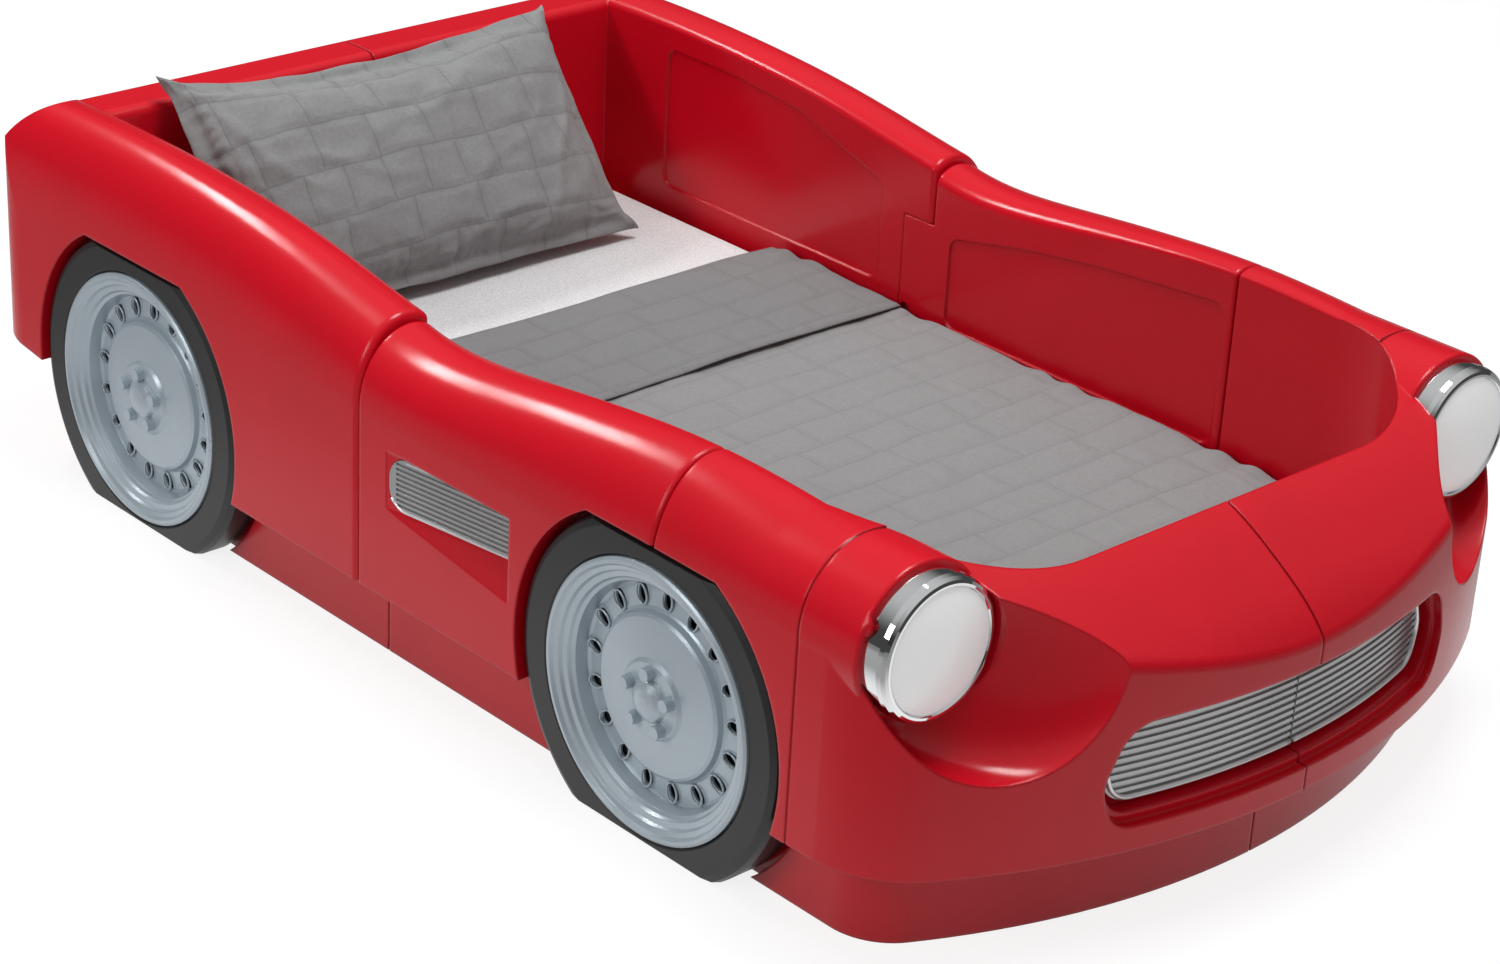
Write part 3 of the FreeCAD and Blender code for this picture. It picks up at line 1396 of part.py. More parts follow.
def make_slats():
    """Wooden slats across the well, on the two ledges, with sunk holes for their screws."""
    half = size("slat_length") / 2
    low = size("ledge_height")
    down = Vector(0, 0, -1)
    holes = [small_hole(seat, down) for seat in slat_screw_places()]
    holes += [rod(size("small_head") + 0.5, seat, seat - down * 10)
              for seat in slat_screw_places()]
    holes += [hole.mirror(Vector(0, 0, 0), Vector(1, 0, 0)) for hole in holes]
    slats = []
    for start in slat_starts():
        slat = box(-half, half, start, start + size("slat_width"), low,
                   low + size("slat_thickness"))
        slats.append(slat.cut([hole for hole in holes
                               if start < hole.CenterOfMass.y < start + size("slat_width")]))
    return keep(add_shape("mattress_slats", Part.makeCompound(slats)))


def block_with_corners(half_width, front, rear, bottom, top, corner):
    """Upright block with round corners in plan."""
    return round_edges(box(-half_width, half_width, front, rear, bottom, top), corner,
                       lambda edge: runs_along(edge, 2))


MATTRESS_REAR = size("well_rear_y") - size("mattress_end_gap")
MATTRESS_FRONT = MATTRESS_REAR - size("mattress_length")
MATTRESS_BASE = size("ledge_height") + size("slat_thickness") + FIT
MATTRESS_TOP = MATTRESS_BASE + size("mattress_thickness")
SHEET_HALF = size("mattress_width") / 2 + size("sheet_cloth")
SHEET_TOP = MATTRESS_TOP + size("sheet_cloth")


def make_mattress():
    """Mattress on the slats, and the sheet that is pulled over it."""
    half = size("mattress_width") / 2
    core = block_with_corners(half, MATTRESS_FRONT, MATTRESS_REAR, MATTRESS_BASE, MATTRESS_TOP,
                              size("mattress_corner"))
    cloth = size("sheet_cloth")
    cover = block_with_corners(SHEET_HALF, MATTRESS_FRONT - cloth, MATTRESS_REAR + cloth,
                               MATTRESS_BASE + 2, SHEET_TOP, size("mattress_corner") + cloth)
    keep(add_shape("mattress", core))
    return keep(add_shape("fitted_sheet", cover.cut(core)))


def make_quilt():
    """Quilt over the mattress, tucked in at both sides, its head end turned down."""
    cloth = size("quilt_cloth")
    low = SHEET_TOP + FIT
    inner = SHEET_HALF + FIT
    outer = inner + cloth
    head = size("quilt_head_y")
    foot = size("hood_edge_y") + size("quilt_foot_gap")
    corner = size("hood_corner") - size("quilt_foot_gap")
    layer = block_with_corners(outer, foot, head + corner, low, low + cloth, corner)
    layer = layer.common(box(-outer, outer, foot, head, low, low + cloth))
    turned = box(-outer, outer, head - size("quilt_turn_down"), head, low, low + 2 * cloth)
    tucks = [box(side, side + cloth, foot + corner, head, low - size("quilt_drop"), low + cloth)
             for side in (-outer, inner)]
    quilt = layer.fuse([turned] + tucks).removeSplitter()
    return keep(add_shape("quilt", quilt))


def make_pillow():
    """Stuffed pillow sham on the mattress, leaning on the head wall."""
    half_width = size("pillow_width") / 2
    half_height = size("pillow_height") / 2
    edge = size("pillow_flange")
    swell = size("pillow_loft") - edge
    grid = (-1, -0.9, -0.7, -0.35, 0, 0.35, 0.7, 0.9, 1)

    def face(side):
        poles = [[Vector(u * half_width, v * half_height,
                         side * (edge + swell * (1 - u ** 4) * (1 - v ** 4)))
                  for v in grid] for u in grid]
        surface = Part.BSplineSurface()
        surface.interpolate(poles)
        return surface.toShape()

    front = face(1)
    back = face(-1)
    flange = []
    for rim in front.Edges:
        partner = min(back.Edges, key=lambda other: (other.CenterOfMass
                                                     - rim.CenterOfMass).Length)
        flange.append(Part.makeRuledSurface(rim, partner))
    shell = Part.makeShell([front, back] + flange)
    shell.sewShape()
    pillow = Part.makeSolid(shell)
    if pillow.Volume < 0:
        pillow.reverse()
    lean = Rotation(Vector(1, 0, 0), size("pillow_lean"))
    rise = lean.multVec(Vector(0, half_height, 0))
    bottom = SHEET_TOP + FIT + edge * math.cos(math.radians(size("pillow_lean")))
    foot = Vector(size("pillow_x"), size("pillow_foot_y"), bottom)
    pillow.Placement = Placement(foot + rise, lean)
    return keep(add_shape("pillow", pillow))


make_slats()
make_mattress()
make_quilt()
make_pillow()


doc.recompute()
os.makedirs("parts", exist_ok=True)
for feature in PARTS:
    shape = feature.Shape
    bad = [state for state in feature.State if state in ("Invalid", "Error")]
    if bad or shape.isNull() or not shape.isValid():
        raise RuntimeError(f"{feature.Label} did not build: {feature.State}")
    shape.exportStep(f"parts/{feature.Label}.step")
    print(feature.Label, len(shape.Solids), round(shape.Volume / 1e6, 2), "litres")
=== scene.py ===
"""A child's bed moulded as an old open sports car: its finishes, bedding, light and camera."""
import logging
import math
from collections.abc import Callable
from dataclasses import dataclass, field
from enum import Enum

import bpy
import numpy as np
from mathutils import Matrix, Vector


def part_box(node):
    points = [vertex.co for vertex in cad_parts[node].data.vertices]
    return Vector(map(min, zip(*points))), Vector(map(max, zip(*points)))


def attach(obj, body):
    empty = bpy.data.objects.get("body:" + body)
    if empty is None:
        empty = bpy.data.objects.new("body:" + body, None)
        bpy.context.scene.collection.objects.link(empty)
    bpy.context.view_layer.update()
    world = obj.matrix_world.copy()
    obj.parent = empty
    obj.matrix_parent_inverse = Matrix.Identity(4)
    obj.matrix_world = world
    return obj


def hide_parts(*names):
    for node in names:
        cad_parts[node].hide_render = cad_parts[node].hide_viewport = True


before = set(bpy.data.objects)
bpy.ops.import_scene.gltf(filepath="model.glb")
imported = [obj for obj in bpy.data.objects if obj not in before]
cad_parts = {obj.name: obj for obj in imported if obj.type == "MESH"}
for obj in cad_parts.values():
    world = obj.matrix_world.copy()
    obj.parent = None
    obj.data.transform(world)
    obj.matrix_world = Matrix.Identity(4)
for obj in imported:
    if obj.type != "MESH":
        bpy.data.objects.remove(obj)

LOG = logging.getLogger("car_bed")
SIDES = {"right": -1.0, "left": 1.0}
ENDS = ("front", "rear")
CLOTH_MAP = "flat_cloth"

# Box stitching, in metres: rows, cells, and how the cells of one row differ from the next's.
QUILT_ROW, QUILT_CELL = 0.072, 0.145
SHAM_ROW, SHAM_CELL = 0.078, 0.115
ROW_SHIFT, ROW_SPREAD, SPREAD_START = 0.618034, 0.381966, 0.3
LEAST_WIDTH, WIDTH_SPREAD = 0.6, 0.8

Socket = bpy.types.NodeSocket
Value = Socket | float
Colour = tuple[float, float, float]


class Body(str, Enum):
    """Rigid bodies of the model that a piece can ride on."""

    BED = "bed"
    MATTRESS = "mattress"
    QUILT = "quilt"
    PILLOW = "pillow"


class Slot(str, Enum):
    """Material slots of the record, named for the new pieces."""

    CHROME = "chrome_ring"
    HUBCAP = "hubcap_plastic"
    MATTRESS = "mattress_cover"
    SHEET = "sheet_cloth"
    QUILT = "quilt_cloth"
    PILLOW = "pillow_cloth"


# ---------------------------------------------------------------- shader building blocks


class NodeSheet:
    """Adds and joins nodes in one node tree."""

    def __init__(self, tree: bpy.types.NodeTree) -> None:
        """Keep the tree and start it empty."""
        self.tree = tree
        tree.nodes.clear()

    def feed(self, socket: bpy.types.NodeSocket, value: object) -> None:
        """Join an output socket to an input, or set the input to a plain value.

        Args:
            socket: the input.
            value: an output socket, a number, or a colour or vector of three numbers.
        """
        if isinstance(value, bpy.types.NodeSocket):
            self.tree.links.new(value, socket)
        else:
            socket.default_value = (*value, 1.0) if socket.type == "RGBA" else value

    def fill(self, node: bpy.types.Node, **values: object) -> None:
        """Set properties of a node and feed its inputs.

        Args:
            node: the node.
            **values: a property's name, or an input's name with spaces as underscores.
        """
        for name, value in values.items():
            if hasattr(node, name):
                setattr(node, name, value)
            else:
                self.feed(node.inputs[name.replace("_", " ")], value)

    def add(self, kind: str, **values: object) -> bpy.types.Node:
        """Add a node and fill it.

        Args:
            kind: Blender's name for the node type.
            **values: as in fill.

        Returns:
            The new node.
        """
        node = self.tree.nodes.new(kind)
        self.fill(node, **values)
        return node

    def compute(self, operation: str, *values: Value, kind: str = "ShaderNodeMath") -> Socket:
        """Add a math node.

        Args:
            operation: Blender's name for the operation.
            *values: what goes into the node's inputs, in their order.
            kind: math node for numbers or for vectors.

        Returns:
            The result's socket.
        """
        node = self.add(kind, operation=operation)
        for socket, value in zip(node.inputs, values):
            self.feed(socket, value)
        return node.outputs[0]

    def span(self, value: Socket, start: float, end: float, low: float, high: float) -> Socket:
        """Carry a value from one span to another, smoothly and clamped.

        Args:
            value: the value's socket.
            start: value that gives low.
            end: value that gives high.
            low: result at start.
            high: result at end.

        Returns:
            The result's socket.
        """
        return self.add("ShaderNodeMapRange", interpolation_type="SMOOTHSTEP", Value=value,
                        From_Min=start, From_Max=end, To_Min=low,
                        To_Max=high).outputs["Result"]

    def rise(self, value: Socket, start: float, end: float) -> Socket:
        """Add a ramp from black at start to white at end and give its colour socket."""
        node = self.add("ShaderNodeValToRGB", Fac=value)
        for element, place in zip(node.color_ramp.elements, (start, end)):
            element.position = place
        return node.outputs["Color"]

    def noise(self, place: Socket, **values: object) -> Socket:
        """Add a noise texture at a place and give its height socket."""
        return self.add("ShaderNodeTexNoise", Vector=place, **values).outputs["Fac"]

    def place(self) -> Socket:
        """Give the socket with the place on the piece."""
        return self.add("ShaderNodeTexCoord").outputs["Object"]

    def mix(self, mask: Socket, low: Value | Colour, high: Value | Colour) -> Socket:
        """Mix two numbers or two colours by a mask.

        Args:
            mask: socket from 0 to 1.
            low: number, colour or socket where the mask is 0.
            high: the same where it is 1; a colour here makes it a mix of colours.

        Returns:
            The result's socket.
        """
        kind = "RGBA" if isinstance(high, tuple) else "FLOAT"
        return self.add("ShaderNodeMix", data_type=kind, Factor=mask, A=low,
                        B=high).outputs["Result"]

    def bump(self, height: Socket, strength: float, depth: float,
             under: Socket | None = None) -> Socket:
        """Add relief.

        Args:
            height: socket with the height.
            strength: share of the relief that shows.
            depth: depth of the relief.
            under: normal that the relief is laid on, if not the surface's own.

        Returns:
            The socket with the new normal.
        """
        node = self.add("ShaderNodeBump", Strength=strength, Distance=depth, Height=height)
        if under is not None:
            self.feed(node.inputs["Normal"], under)
        return node.outputs["Normal"]


def new_group(name: str, inputs: dict[str, float],
              outputs: tuple[str, ...]) -> tuple[NodeSheet, dict[str, Socket], bpy.types.Node]:
    """Start a shader group with float sockets.

    Args:
        name: name of the group.
        inputs: default values by input name.
        outputs: names of the outputs.

    Returns:
        The node sheet of the group, its given values by name and its output node.
    """
    tree = bpy.data.node_groups.new(name, "ShaderNodeTree")
    for label, value in inputs.items():
        socket = tree.interface.new_socket(label, in_out="INPUT", socket_type="NodeSocketFloat")
        socket.default_value = value
    for label in outputs:
        tree.interface.new_socket(label, in_out="OUTPUT", socket_type="NodeSocketFloat")
    sheet = NodeSheet(tree)
    given = sheet.add("NodeGroupInput").outputs
    return sheet, {label: given[label] for label in inputs}, sheet.add("NodeGroupOutput")


class Effects:
    """Shader groups shared by several finishes."""

    def __init__(self) -> None:
        """Build every group once."""
        self.moulding = self._moulding()
        self.weave = self._weave()
        self.creases = self._creases()
        self.stitching = self._stitching()

    def _moulding(self) -> bpy.types.NodeTree:
        """Faint waviness, fine grain and handling marks of a moulded surface.

        Returns:
            The group; Height is the relief, Marks is a mask from 0 to 1.
        """
        sheet, given, made = new_group(
            "moulded_surface", {"Wave Size": 6.0, "Grain Size": 900.0, "Grain Share": 0.2},
            ("Height", "Marks"))
        place = sheet.place()
        wave = sheet.noise(place, Scale=given["Wave Size"], Detail=2.0, Roughness=0.4)
        grain = sheet.noise(place, Scale=given["Grain Size"], Detail=1.0, Roughness=0.5)
        marks = sheet.noise(place, Scale=3.2, Detail=6.0, Roughness=0.62, Distortion=0.4)
        sheet.fill(made, Height=sheet.mix(given["Grain Share"], wave, grain),
                   Marks=sheet.rise(marks, 0.35, 0.72))
        return sheet.tree

    def _weave(self) -> bpy.types.NodeTree:
        """Plain weave with uneven threads.

        Returns:
            The group; Height is the threads' relief, Heather is their uneven tone.
        """
        sheet, given, made = new_group("plain_weave", {"Threads": 900.0, "Slub": 60.0},
                                       ("Height", "Heather"))
        place = sheet.place()
        threads = [sheet.add("ShaderNodeTexWave", wave_type="BANDS", bands_direction=axis,
                             wave_profile="SIN", Vector=place, Scale=given["Threads"],
                             Distortion=0.6, Detail=1.0).outputs["Fac"] for axis in ("X", "Y")]
        slub = sheet.noise(place, Scale=given["Slub"], Detail=4.0, Roughness=0.7)
        sheet.fill(made, Height=sheet.compute("MULTIPLY", *threads), Heather=slub)
        return sheet.tree

    def _creases(self) -> bpy.types.NodeTree:
        """Soft creases of washed cotton.

        Returns:
            The group; Height is high on the ridges of the creases.
        """
        sheet, given, made = new_group("washed_creases", {"Size": 9.0, "Stretch": 2.5},
                                       ("Height",))
        spread = sheet.add("ShaderNodeCombineXYZ", X=given["Stretch"], Y=1.0, Z=1.0)
        place = sheet.compute("MULTIPLY", sheet.place(), spread.outputs[0],
                              kind="ShaderNodeVectorMath")
        sheet.fill(made, Height=sheet.noise(
            place, noise_type="RIDGED_MULTIFRACTAL", Scale=given["Size"], Detail=3.0,
            Roughness=0.45, Distortion=0.5))
        return sheet.tree

    def _stitching(self) -> bpy.types.NodeTree:
        """Uneven box stitching, laid out in the cloth's own flat measure.

        Returns:
            The group; Line is 1 on the stitch line, Pinch is 1 at the stitch line and 0 on the
            puffs, and Gathers is the height of the small gathers beside the stitch line.
        """
        sheet, given, made = new_group("box_stitching", {"Row": 0.08, "Cell": 0.12},
                                       ("Line", "Pinch", "Gathers"))
        row, cell, compute = given["Row"], given["Cell"], sheet.compute
        flat = sheet.add("ShaderNodeUVMap", uv_map=CLOTH_MAP).outputs["UV"]
        drift = compute("MULTIPLY_ADD", sheet.noise(flat, Scale=5.0, Detail=3.0), 0.03, -0.015)
        axes = sheet.add("ShaderNodeSeparateXYZ", Vector=flat).outputs
        across = compute("ADD", axes["X"], drift)
        rows = compute("DIVIDE", compute("ADD", axes["Y"], drift), row)
        to_row = compute("MULTIPLY", compute("PINGPONG", rows, 0.5), row)
        number = compute("FLOOR", rows)
        shift = compute("FRACT", compute("MULTIPLY", number, ROW_SHIFT))
        spread = compute("FRACT", compute("MULTIPLY_ADD", number, ROW_SPREAD, SPREAD_START))
        wide = compute("MULTIPLY", compute("MULTIPLY_ADD", spread, WIDTH_SPREAD, LEAST_WIDTH),
                       cell)
        moved = compute("MULTIPLY_ADD", shift, cell, across)
        to_side = compute("MULTIPLY", compute("PINGPONG", compute("DIVIDE", moved, wide), 0.5),
                          wide)
        apart = compute("MINIMUM", to_row, to_side)
        small = sheet.noise(flat, Scale=85.0, Detail=2.0, Distortion=0.8)
        sheet.fill(made, Line=sheet.span(apart, 0.0005, 0.0022, 1.0, 0.0),
                   Pinch=sheet.span(apart, 0.0, 0.015, 1.0, 0.0),
                   Gathers=compute("MULTIPLY", small, sheet.span(apart, 0.0, 0.028, 1.0, 0.0)))
        return sheet.tree


def start_material(name: str, kind: str = "ShaderNodeBsdfPrincipled") -> tuple[
        bpy.types.Material, NodeSheet, bpy.types.Node]:
    """Make a material with one shader and its output.

    Args:
        name: name of the material.
        kind: node type of the shader.

    Returns:
        The material, its node sheet and the shader node.
    """
    material = bpy.data.materials.new(name)
    material.use_nodes = True
    sheet = NodeSheet(material.node_tree)
    shader = sheet.add(kind)
    sheet.add("ShaderNodeOutputMaterial", Surface=shader.outputs[0])
    return material, sheet, shader


# ---------------------------------------------------------------- finishes


@dataclass(frozen=True)
class HardFinish:
    """Smooth hard surface, such as moulded plastic or plating, with soft edges, marks and a
    painted glow where glow is set.
    """

    name: str
    colour: Colour
    worn: Colour
    gloss: float = 0.25
    mark_gloss: float = 0.08
    edge_radius: float = 0.003
    wave_size: float = 6.0
    wave_depth: float = 0.0006
    relief: float = 0.5
    grain_share: float = 0.1
    metal: float = 0.0
    sheen_level: float = 0.5
    coat: float = 0.0
    # glow: strength of a painted glow, an even white emission on a part that is no lamp
    glow: float = 0.0

    def build(self, effects: Effects) -> bpy.types.Material:
        """Build the material.

        Args:
            effects: shared shader groups.

        Returns:
            The finished material.
        """
        material, sheet, shader = start_material(self.name)
        skin = sheet.add("ShaderNodeGroup", node_tree=effects.moulding,
                         Wave_Size=self.wave_size, Grain_Share=self.grain_share).outputs
        rough: Value = self.gloss
        if self.mark_gloss > 0.0:
            rough = sheet.add("ShaderNodeMapRange", Value=skin["Marks"], To_Min=self.gloss,
                              To_Max=self.gloss + self.mark_gloss).outputs["Result"]
        edge = None
        if self.edge_radius > 0.0:
            edge = sheet.add("ShaderNodeBevel", samples=6,
                             Radius=self.edge_radius).outputs["Normal"]
        # the emission is a painted glow; only the lens has glow set
        sheet.fill(shader, Base_Color=sheet.mix(skin["Marks"], self.colour, self.worn),
                   Metallic=self.metal, Specular_IOR_Level=self.sheen_level, Roughness=rough,
                   Coat_Weight=self.coat, Coat_Roughness=0.08, Emission_Color=(1.0, 1.0, 1.0),
                   Emission_Strength=self.glow,
                   Normal=sheet.bump(skin["Height"], self.relief, self.wave_depth, edge))
        return material


@dataclass(frozen=True)
class Cotton:
    """Washed cotton: weave, uneven tone, creases, box stitching darkened by painted shade, and
    sheen.
    """

    name: str
    colour: Colour
    shade: Colour
    slub: float = 70.0
    crease_size: float = 9.0
    crease_depth: float = 0.002
    weave_depth: float = 0.0002
    row: float = 0.0
    cell: float = 0.12
    stitch_depth: float = 0.003
    # painted shade: how strongly the stitch lines and the pinched cloth beside them are darkened
    stitch_shade: float = 0.3

    def build(self, effects: Effects) -> bpy.types.Material:
        """Build the material.

        Args:
            effects: shared shader groups.

        Returns:
            The finished material.
        """
        material, sheet, shader = start_material(self.name)
        weave = sheet.add("ShaderNodeGroup", node_tree=effects.weave, Slub=self.slub).outputs
        creases = sheet.add("ShaderNodeGroup", node_tree=effects.creases,
                            Size=self.crease_size).outputs
        tone = sheet.mix(sheet.rise(weave["Heather"], 0.35, 0.65), self.shade, self.colour)
        relief = None
        if self.row > 0.0:
            tone, relief = self.stitch(sheet, effects, tone)
        folds = sheet.bump(creases["Height"], 0.7, self.crease_depth, relief)
        sheet.fill(shader, Base_Color=tone, Roughness=0.9, Specular_IOR_Level=0.2,
                   Sheen_Weight=0.15,
                   Normal=sheet.bump(weave["Height"], 0.5, self.weave_depth, folds))
        return material

    def stitch(self, sheet: NodeSheet, effects: Effects, tone: Socket) -> tuple[Socket, Socket]:
        """Press box stitching into the cloth and paint shade along its lines and in the pinched
        cloth.

        Args:
            sheet: node sheet of the material.
            effects: shared shader groups.
            tone: socket with the cloth's colour.

        Returns:
            The sockets with the colour, darkened by painted shade in the stitching, and with the
            normal.
        """
        seams = sheet.add("ShaderNodeGroup", node_tree=effects.stitching, Row=self.row,
                          Cell=self.cell).outputs
        puffs = sheet.compute("SUBTRACT", 1.0, seams["Pinch"])
        height = sheet.compute("MULTIPLY_ADD", seams["Gathers"], 0.7, puffs)
        # painted shade: the colour is darkened on the stitch lines and across the pinched cloth,
        # towards 0.42 of the darker heather tone
        pinch_shade = sheet.compute("MULTIPLY", seams["Pinch"], self.stitch_shade * 0.25)
        depth = sheet.compute("MULTIPLY_ADD", seams["Line"], self.stitch_shade, pinch_shade)
        dark = tuple(value * 0.42 for value in self.shade)
        return sheet.mix(depth, tone, dark), sheet.bump(height, 0.9, self.stitch_depth)


@dataclass(frozen=True)
class PlanedWood:
    """Planed softwood with its grain along the slats."""

    name: str = "planed_pine"
    early: Colour = (0.66, 0.48, 0.30)
    late: Colour = (0.50, 0.32, 0.17)

    def build(self, effects: Effects) -> bpy.types.Material:
        """Build the material.

        Args:
            effects: shared shader groups.

        Returns:
            The finished material.
        """
        material, sheet, shader = start_material(self.name)
        along = sheet.add("ShaderNodeMapping", Vector=sheet.place(), Scale=(1.2, 16.0, 16.0))
        grain = sheet.noise(along.outputs["Vector"], Scale=3.0, Detail=6.0, Distortion=1.4)
        skin = sheet.add("ShaderNodeGroup", node_tree=effects.moulding, Grain_Share=0.6).outputs
        rough = sheet.add("ShaderNodeMapRange", Value=skin["Marks"], To_Min=0.5, To_Max=0.65)
        sheet.fill(shader, Base_Color=sheet.mix(grain, self.early, self.late),
                   Roughness=rough.outputs["Result"], Normal=sheet.bump(grain, 0.4, 0.0005))
        return material


RED = (0.585, 0.003, 0.014)
FINISHES = {
    "body": HardFinish("red_body", RED, (0.53, 0.003, 0.012), gloss=0.19, mark_gloss=0.07,
                       edge_radius=0.006, wave_depth=0.0009, grain_share=0.03,
                       sheen_level=0.36),
    "tyre": HardFinish("black_tyre", (0.012, 0.012, 0.013), (0.02, 0.02, 0.021),
                       gloss=0.36, mark_gloss=0.12, grain_share=0.35),
    "hubcap": HardFinish("silver_hubcap", (0.46, 0.53, 0.58), (0.41, 0.48, 0.53),
                         gloss=0.27, edge_radius=0.0015, metal=0.3, grain_share=0.25),
    "insert": HardFinish("ribbed_insert", (0.44, 0.445, 0.45), (0.38, 0.385, 0.39),
                         gloss=0.2, edge_radius=0.0012, metal=0.6, grain_share=0.2),
    "rim": HardFinish("silver_rim", (0.84, 0.85, 0.86), (0.78, 0.79, 0.80), gloss=0.16,
                      edge_radius=0.0, metal=0.45, grain_share=0.1),
    "white": HardFinish("white_plastic", (0.78, 0.78, 0.76), (0.72, 0.72, 0.70), gloss=0.4),
    "board": HardFinish("green_board", (0.03, 0.16, 0.07), (0.02, 0.12, 0.05), gloss=0.35,
                        edge_radius=0.0004),
    "cell": HardFinish("cell_jacket", (0.45, 0.33, 0.08), (0.38, 0.28, 0.07), gloss=0.3,
                       edge_radius=0.0004, metal=0.6),
    "steel": HardFinish("zinc_steel", (0.55, 0.55, 0.56), (0.42, 0.42, 0.43), gloss=0.32,
                        edge_radius=0.0005, metal=1.0),
    "chrome": HardFinish("plated_chrome", (0.86, 0.87, 0.88), (0.8084, 0.8178, 0.8272),
                         gloss=0.035, mark_gloss=0.03, edge_radius=0.0, wave_size=14.0,
                         wave_depth=0.0004, relief=0.25, grain_share=0.02, metal=1.0),
    # painted glow: the lens gives off a faint white light though it is no lamp
    "lens": HardFinish("frosted_lens", (0.90, 0.91, 0.91), (0.837, 0.8463, 0.8463), gloss=0.42,
                       mark_gloss=0.0, edge_radius=0.0, wave_size=9.0, wave_depth=0.0003,
                       relief=0.3, grain_share=0.4, coat=0.4, glow=0.2),
    "wood": PlanedWood(),
    "ticking": Cotton("white_ticking", (0.78, 0.78, 0.76), (0.70, 0.70, 0.68)),
    "sheet": Cotton("heather_sheet", (0.78, 0.78, 0.785), (0.56, 0.56, 0.57), slub=260.0,
                    crease_size=5.0, crease_depth=0.0015),
    # the quilt, its turned-down band and the pillow darken their stitch lines with painted shade
    "quilt": Cotton("grey_quilt", (0.262, 0.264, 0.266), (0.232, 0.234, 0.236), slub=160.0,
                    crease_depth=0.008, row=QUILT_ROW, cell=QUILT_CELL, stitch_depth=0.0012,
                    stitch_shade=0.2),
    # painted shade: the quilt's turned-down band is drawn in a darker copy of the quilt cloth
    "shaded_band": Cotton("quilt_band_painted_shade", (0.205, 0.207, 0.209), (0.182, 0.184, 0.186), slub=160.0,
                     crease_depth=0.008, row=QUILT_ROW, cell=QUILT_CELL, stitch_depth=0.0016,
                     stitch_shade=0.22),
    "pillow": Cotton("grey_sham", (0.245, 0.247, 0.249), (0.208, 0.21, 0.212), slub=160.0,
                     crease_size=7.0, crease_depth=0.014, row=SHAM_ROW, cell=SHAM_CELL,
                     stitch_depth=0.0018, stitch_shade=0.32),
}


class Workshop:
    """Holds the built finishes and dresses pieces with them."""

    def __init__(self) -> None:
        """Build the shared effects and every finish."""
        effects = Effects()
        self.made = {key: finish.build(effects) for key, finish in FINISHES.items()}

    def dress_node(self, node: str, finish: str) -> None:
        """Give a carried-over node its finish.

        Args:
            node: name of the node.
            finish: key of the finish.
        """
        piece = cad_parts[node]
        for place in piece.material_slots:
            place.material = self.made[finish]
        if not piece.material_slots:
            piece.data.materials.append(self.made[finish])

    def dress(self, piece: bpy.types.Object, finish: str, body: Body, slot: Slot,
              node: str = "") -> None:
        """Give a new piece its finish and body.

        Args:
            piece: the new piece.
            finish: key of its finish.
            body: body that it rides on.
            slot: its material slot; not used.
            node: the node that it stands for, if any.
        """
        piece.data.materials.clear()
        piece.data.materials.append(self.made[finish])
        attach(piece, body.value)
        if node:
            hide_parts(node)
        LOG.info("made %s", piece.name)


# ---------------------------------------------------------------- mesh helpers


def mesh_object(name: str, points: np.ndarray, faces: list[tuple[int, ...]]) -> bpy.types.Object:
    """Make a smooth-shaded object.

    Args:
        name: name of the piece.
        points: corner points, one row each.
        faces: point numbers of each face.

    Returns:
        The object, linked to the scene.
    """
    mesh = bpy.data.meshes.new(name)
    mesh.from_pydata([tuple(point) for point in points], [], faces)
    mesh.polygons.foreach_set("use_smooth", [True] * len(mesh.polygons))
    mesh.update()
    piece = bpy.data.objects.new(name, mesh)
    bpy.context.collection.objects.link(piece)
    return piece


def grid_faces(rings: int, around: int, wrap: bool = False) -> list[tuple[int, ...]]:
    """Join rings of points into a skin of four-sided faces.

    Args:
        rings: number of rings.
        around: points on each ring.
        wrap: whether the last ring joins the first.

    Returns:
        Point numbers of each face.
    """
    faces: list[tuple[int, ...]] = []
    for ring in range(rings if wrap else rings - 1):
        low, high = ring * around, (ring + 1) % rings * around
        for step in range(around):
            beyond = (step + 1) % around
            faces.append((low + step, low + beyond, high + beyond, high + step))
    return faces


def read_rows(items: object, name: str, width: int, kind: type = float) -> np.ndarray:
    """Read one property of every item of a mesh.

    Args:
        items: points, corners or faces of the mesh.
        name: name of the property.
        width: numbers in it.
        kind: kind of number.

    Returns:
        The values, one row for each item.
    """
    flat = np.zeros(len(items) * width, kind)
    items.foreach_get(name, flat)
    return flat.reshape(-1, width)


def tube(name: str, path: list[Vector], radius: float, closed: bool = False) -> bpy.types.Object:
    """Make a thin round strip along a path.

    Args:
        name: name of the piece.
        path: points of the middle line.
        radius: radius of the strip.
        closed: whether the last point joins the first.

    Returns:
        The strip as a mesh object.
    """
    around, count = 10, len(path)
    points: list[Vector] = []
    for index, here in enumerate(path):
        ahead = path[(index + 1) % count] if closed else path[min(index + 1, count - 1)]
        behind = path[(index - 1) % count] if closed else path[max(index - 1, 0)]
        along = (ahead - behind).normalized()
        across = along.cross(Vector((0.0, 1.0, 0.0)))
        if across.length < 0.2:
            across = along.cross(Vector((1.0, 0.0, 0.0)))
        across.normalize()
        other = along.cross(across)
        for step in range(around):
            turn = 2.0 * math.pi * step / around
            points.append(here + (across * math.cos(turn) + other * math.sin(turn)) * radius)
    faces = grid_faces(count, around, closed)
    if not closed:
        faces.append(tuple(range(around - 1, -1, -1)))
        last = (count - 1) * around
        faces.append(tuple(range(last, last + around)))
    return mesh_object(name, np.array(points), faces)


